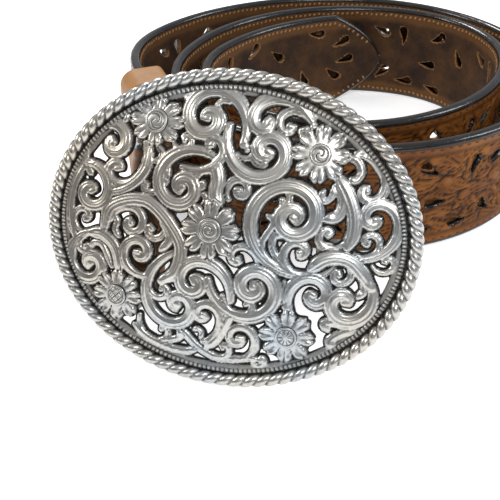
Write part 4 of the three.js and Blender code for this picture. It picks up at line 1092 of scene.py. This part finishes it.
def buckle_rope():
    """Twisted rope: round strands, each a little raised, that lean round the rim."""
    around = STRANDS * STRAND_STEPS
    angle, roll = np.meshgrid(turns(around), turns(ROPE_SIDES), indexing="ij")
    phase = np.mod((STRANDS * angle - 2 * roll) / (2 * math.pi), 1)
    strand = np.sqrt(np.clip(1 - (2 * phase - 1) ** 2, 0, 1))
    radius = ROPE - STRAND_SINK + STRAND_RISE * strand
    places = oval(angle.ravel(), (radius * np.cos(roll)).ravel())
    points = np.concatenate([places, (radius * np.sin(roll)).reshape(-1, 1)], 1)
    # Darker between the strands: partly oxide, partly painted shade in the crevices
    dark = {"recess": np.clip(1.25 - strand * 1.6, 0, 1).ravel()}
    faces = [f[::-1] for f in grid_faces(around, ROPE_SIDES, closed_rows=True, closed_columns=True)]
    return make_piece("buckle_rope", from_buckle(points), faces, [ROPE_SILVER], dark)


def buckle_ledge():
    """Ribbed ledge between the rope and the filigree."""
    around = BEADS * BEAD_STEPS
    near, far = -(ROPE * 0.75), FIELD_OFFSET - 0.1
    ribs = np.linspace(-ROPE - 0.55, FIELD_OFFSET + 0.1, RIB_STEPS)
    offsets = np.array([near, -ROPE - 0.2, -ROPE - 0.4, *ribs, far])
    angle, offset = np.meshgrid(turns(around), offsets, indexing="ij")
    bead = np.abs(np.sin(BEADS * angle / 2))
    start = ROPE + 0.45
    along = np.clip((offset + (start - FIELD_OFFSET) / 2) / ((-FIELD_OFFSET - start) / 2), -1, 1)
    crown = np.sqrt(np.clip(1 - along ** 2, 0, 1))
    ribbed = (offset < -start) & (offset > far)
    rib = LEDGE_TOP + 0.2 + (BEAD_TOP - LEDGE_TOP - 0.5) * crown * (0.5 + 0.5 * bead)
    height = np.where(ribbed, rib, LEDGE_TOP - 0.1)
    height = np.where(offset <= far, DOME_FOOT - 0.5, height)
    # Darker beside the rope, between the ribs and underneath: partly oxide, partly painted shade
    recess = np.where(ribbed, np.clip(0.92 - 0.75 * crown * bead, 0.2, 0.9), 0.95)
    places = oval(angle.ravel(), offset.ravel())
    top = np.concatenate([places, height.reshape(-1, 1)], 1)
    low = top[np.arange(around)[:, None] * len(offsets) + [len(offsets) - 1, 0]].reshape(-1, 3).copy()
    low[:, 2] = np.tile([DOME_FOOT - PLATE - FIT_GAP, -0.6], around)
    faces = grid_faces(around, len(offsets), closed_rows=True)
    rings = []
    for i in range(around):
        first, under = i * len(offsets), len(top) + 2 * i
        rings.append([first + len(offsets) - 1, under, under + 1, first])
    for ring, after in zip(rings, rings[1:] + rings[:1]):
        for k in range(3):
            faces.append([ring[k], after[k], after[k + 1], ring[k + 1]])
    dark = {"recess": np.concatenate([recess.ravel(), np.full(len(low), 0.6)])}
    return make_piece("buckle_ledge", from_buckle(np.concatenate([top, low])), faces, [SILVER], dark)


def tube(name, knots, radius, blunt=True):
    """Round rod along the knots, in the buckle's frame, its ends rounded where they are blunt."""
    knots = np.array(knots, float)
    travel = np.concatenate([[0], np.cumsum(np.linalg.norm(np.diff(knots, axis=0), axis=1))])
    cuts = [share * radius for share in ([0, 0.02, 0.1, 0.25, 0.5, 0.9] if blunt else [0])]
    straight = np.linspace(radius, travel[-1] - radius, TUBE_RINGS)
    spots = np.concatenate([cuts, straight, [travel[-1] - cut for cut in cuts[::-1]]])
    centre = np.stack([np.interp(spots, travel, knots[:, i]) for i in range(3)], -1)
    tangent = unit(np.gradient(centre, axis=0) + 1e-12)
    normal = unit(np.cross(tangent, [0.3, 0.2, 0.93] if abs(tangent[0][2]) < 0.8 else [1, 0.1, 0]))
    other = np.cross(tangent, normal)
    into = np.minimum(spots, travel[-1] - spots)
    reach = radius * np.sqrt(np.clip(1 - np.clip(1 - into / radius, 0, 1) ** 2, 0.0004, 1))
    turn = turns(TUBE_SIDES)[None, :, None]
    ring = normal[:, None] * np.cos(turn) + other[:, None] * np.sin(turn)
    points = (centre[:, None] + reach[:, None, None] * ring).reshape(-1, 3)
    faces = grid_faces(len(spots), TUBE_SIDES, closed_columns=True)
    faces += [list(range(TUBE_SIDES)), list(range(len(points) - TUBE_SIDES, len(points)))[::-1]]
    faces = [f[::-1] for f in faces]
    return make_piece(name, from_buckle(points), faces, [SILVER], {"recess": np.full(len(points), 0.35)})


def bale_knots():
    """Middle line of the strap bar, from the plate round to the plate again."""
    side = STRAP_WIDTH / 2 + FIT_GAP + BAR / 2
    foot = float(dome(BAR_OFFSET, side)) - PLATE / 2
    knots = [(-BAR_OFFSET, side, foot), (-BAR_OFFSET, side, BAR - BAR_DEPTH)]
    for k in range(1, 8):
        angle = math.pi / 2 * k / 8
        across, deep = side - BAR + BAR * math.cos(angle), BAR - BAR_DEPTH - BAR * math.sin(angle)
        knots.append((-BAR_OFFSET, across, deep))
    knots.append((-BAR_OFFSET, side - BAR, -BAR_DEPTH))
    return knots + [(u, -v, w) for u, v, w in knots[::-1]]


def hook_knots():
    """Middle line of the hook, from the plate down and over to its point."""
    foot = float(dome(HOOK_U, -HOOK_V)) - PLATE / 2
    bend = [(0, foot), (0, foot / 2 - HOOK_DEPTH / 2), (0.2, HOOK - 0.6 - HOOK_DEPTH),
            (1.3, HOOK / 2 - HOOK_DEPTH + 0.3), (4.6, HOOK * 0.3 - HOOK_DEPTH + 0.1)]
    return [(HOOK_U + out, HOOK_V, deep) for out, deep in bend]


# Keeper and snaps
def keeper_outline():
    """Path round the strap, in corners: place of each corner's centre, direction and inner radius."""
    inside = -(LAYER_OFFSET + RETURN_THICKNESS / 2 + FIT_GAP)
    outside = STRAP_THICKNESS / 2 + BILLET_SLOT
    high = STRAP_WIDTH / 2 + KEEPER_EASE
    corners = [(outside, -high, -90, KEEPER_ROUNDING), (outside, high, 0, KEEPER_ROUNDING),
               (inside, high, 90, KEEPER_CORNER), (inside, -high, 180, KEEPER_CORNER)]
    outline = []
    for x, y, start, corner in corners:
        inner = corner - KEEPER_WALL
        cx, cy = x - math.copysign(inner, x), y - math.copysign(inner, y)
        for k in range(KEEPER_TURN_STEPS + 1):
            angle = math.radians(start + 90 * k / KEEPER_TURN_STEPS)
            outline.append((cx, cy, math.cos(angle), math.sin(angle), inner))
        if x > 0 > y:
            straight = 2 * high - 2 * inner
            outline += [(cx, y + straight * step / KEEPER_SIDE_STEPS + inner, 1, 0, inner)
                        for step in range(1, KEEPER_SIDE_STEPS)]
    return outline


def keeper_profile():
    """Section of the loop's wall, with rounded edges: place along the strap and height in the wall."""
    half, bead = KEEPER_LENGTH / 2, KEEPER_BEAD
    rounded = []
    for cx, cy, start in ((half - bead, KEEPER_WALL - bead, 0), (bead - half, KEEPER_WALL - bead, 90),
                          (bead - half, bead, 180), (half - bead, bead, 270)):
        for k in range(6):
            angle = math.radians(start + 18 * k)
            along = cx + bead * math.cos(angle)
            rounded.append((max(-half, min(half, along)), cy + bead * math.sin(angle)))
    fine = []
    for (a, b), (c, d) in zip(rounded, rounded[1:] + rounded[:1]):
        steps = max(1, int(math.hypot(c - a, d - b) / KEEPER_STEP))
        fine += [(a + (c - a) * step / steps, b + (d - b) * step / steps) for step in range(steps)]
    return fine


def keeper():
    """Loop round the strap, creased in two lines and darker at its edges."""
    outline, profile = keeper_outline(), keeper_profile()
    centre, along, width, out = [f[0] for f in lead_frames([KEEPER_PLACE])]
    points, rim = [], []
    for x, y, dx, dy, inner in outline:
        for a, b in profile:
            reach = inner + b
            points.append(centre + out * (x + dx * reach) + width * (y + dy * reach) + along * a)
            edge = KEEPER_LENGTH / 2 - abs(a)
            crease = min(1, max(0, (2.2 - edge) / 0.3) * max(0, (edge - 1.5) / 0.3))
            rim.append(min(1, 0.9 * crease + 0.7 * max(0, (0.9 - edge) / 0.9)))
    faces = grid_faces(len(outline), len(profile), closed_rows=True, closed_columns=True)
    return make_piece("keeper_band", np.array(points), faces, [NATURAL], {"rim": rim})


def snap(number, distance):
    """Snap through both layers, turned round its axis: flat base, post and domed cap."""
    centre, along, width, out = [f[0] for f in lead_frames([distance])]
    back = return_frames(np.array([distance]))[0][0]
    foot = STRAP_THICKNESS / 2 + SNAP_SINK
    base = -np.linalg.norm(centre - back) - RETURN_THICKNESS / 2 - SNAP_SINK
    cap = [(SNAP_RADIUS * math.cos(t) ** 0.8, foot + 1.6 * math.sin(t))
           for t in np.linspace(0.12, math.pi / 2 - 0.02, CAP_STEPS)]
    profile = [(0.01, base - 1), (4.6, base - 1), (5, base - 0.8), (5, base - 0.2), (4.7, base),
               (2.5, base), (2.5, foot), (5.7, foot), (SNAP_RADIUS, foot), *cap]
    points = [centre + (along * math.cos(t) + width * math.sin(t)) * r + out * w
              for r, w in profile for t in turns(SNAP_SIDES)]
    recess = [0.75 if w < foot + 0.1 else 0.15 for _, w in profile for _ in range(SNAP_SIDES)]
    faces = grid_faces(len(profile), SNAP_SIDES, closed_columns=True)
    faces += [list(range(SNAP_SIDES))[::-1], list(range(len(points) - SNAP_SIDES, len(points)))]
    return make_piece(f"snap_{number}", np.array(points), faces, [STEEL], {"recess": recess})


# Every piece over the CAD: its slot, which is not used, and the CAD nodes that it replaces
def dress(piece, slot, *nodes):
    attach(piece, "root")
    if nodes:
        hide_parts(*nodes)


dress(tooled_strap(), "strap_leather", "leather_strap")
dress(strap_lining(), "strap_leather")
dress(stitch_row("face_stitches", DARK_THREAD, *FACE_STITCHES), "strap_leather")
dress(stitch_row("lining_stitches", TAN_THREAD, *LINING_STITCHES), "strap_leather")
dress(buckle_plate(), "antique_silver", "buckle")
for disc in flower_discs():
    dress(disc, "antique_silver")
dress(buckle_rope(), "antique_silver")
dress(buckle_ledge(), "antique_silver")
dress(tube("buckle_bar", bale_knots(), BAR / 2, blunt=False), "antique_silver")
dress(tube("buckle_hook", hook_knots(), HOOK / 2 - FIT_GAP), "antique_silver")
dress(keeper(), "keeper_leather", "keeper_loop")
for number, distance in enumerate(SNAP_PLACES, 1):
    dress(snap(number, distance), "snap_metal", f"fold_snap_{number}")


# Stage, light and camera, in metres from here on
FLOOR_HALF = 3.0
FLOOR_GLOW = 0.5
SKY_STRENGTH = 0.95
LAMP_AIM = Vector((0, 0, 0.02))

# Lamps: name, place, size, power in watts and colour
LAMPS = [
    ("back", (-0.25, 0.7, 0.8), (0.35, 0.2), 6, (1, 0.99, 0.97)),
    ("right", (0.8, 0.0, 0.65), (0.2, 0.4), 3, (0.93, 0.97, 1)),
    ("left", (-0.8, -0.1, 0.6), (0.2, 0.4), 3, (1, 0.99, 0.97)),
    ("front", (0.15, -0.75, 0.75), (0.4, 0.2), 3.5, (1, 1, 1)),
]

# Camera: height in millimetres, tilt below the horizon, and focal length in pixels of a 500 pixel picture
CAMERA_HEIGHT = 136.7
CAMERA_TILT = 37.5
FOCAL_PIXELS, PICTURE_PIXELS = 700, 500
SENSOR = 36


def floor():
    """Bright paper under the belt."""
    mesh = bpy.data.meshes.new("floor")
    low, high = -FLOOR_HALF, FLOOR_HALF
    mesh.from_pydata([(low, low, 0), (high, low, 0), (high, high, 0), (low, high, 0)], [], [[0, 1, 2, 3]])
    material, tree, shader, place = start_material("floor_paper")
    tint = blend(tree, noise(tree, place, 30, 2), (0.90, 0.90, 0.90), (0.93, 0.93, 0.93))
    rough = plus(tree, 0.8, noise(tree, place, 500), 0.1)
    finish_material(tree, shader, tint, rough, noise(tree, place, 900), 0.02, 0.0001)
    shader.inputs["Specular IOR Level"].default_value = 0.1
    shader.inputs["Emission Color"].default_value = (1, 1, 1, 1)
    shader.inputs["Emission Strength"].default_value = FLOOR_GLOW
    mesh.materials.append(material)
    ground = add_object("floor", mesh)


def world():
    """Studio for the silver to mirror: pale ceiling, cloudy walls, lighter front and a blue right side."""
    sky = bpy.data.worlds.new("studio")
    bpy.context.scene.world = sky
    sky.use_nodes = True
    tree = sky.node_tree
    place = put(tree, "ShaderNodeTexCoord").outputs["Generated"]
    split = put(tree, "ShaderNodeSeparateXYZ", {0: place})
    up, side, deep = split.outputs["Z"], split.outputs["X"], split.outputs["Y"]
    cloud = spread(tree, noise(tree, place, 3.2, 2, 0.5), 0.45, 0.6)
    behind = calc(tree, "SUBTRACT", 1.0, spread(tree, calc(tree, "MULTIPLY", deep, -1), 0.0, 0.3))
    blue = calc(tree, "MULTIPLY", spread(tree, side, 0.2, 0.8), 0.35)
    walls_tint = blend(tree, cloud, (0.03, 0.029, 0.027), (0.62, 0.64, 0.68))
    walls_tint = blend(tree, behind, walls_tint, (0.5, 0.5, 0.52))
    colour = blend(tree, spread(tree, up, 0.5, 0.75), walls_tint, (0.55, 0.56, 0.58))
    colour = blend(tree, blue, colour, (0.5, 0.65, 0.9))
    background = tree.nodes["Background"]
    tree.links.new(colour, background.inputs["Color"])
    background.inputs["Strength"].default_value = SKY_STRENGTH


def lamp(name, place, size, power, colour):
    data = bpy.data.lights.new(name, "AREA")
    data.shape = "RECTANGLE"
    data.size, data.size_y = size
    data.energy = power
    data.color = colour
    light = add_object(name, data)
    light.location = place
    light.rotation_euler = (LAMP_AIM - Vector(place)).to_track_quat("-Z", "Y").to_euler()


floor()
world()
for settings in LAMPS:
    lamp(*settings)
lens = bpy.data.cameras.new("camera")
lens.sensor_width = SENSOR
lens.lens = SENSOR * FOCAL_PIXELS / PICTURE_PIXELS
lens.clip_start, lens.clip_end = 0.01, 20
camera = add_object("camera", lens)
camera.location = tuple((SHIFT + [0, 0, CAMERA_HEIGHT]) * MM)
camera.rotation_euler = (math.radians(90 - CAMERA_TILT), 0, 0)
bpy.context.scene.camera = camera
bpy.context.scene.view_settings.view_transform = "Standard"
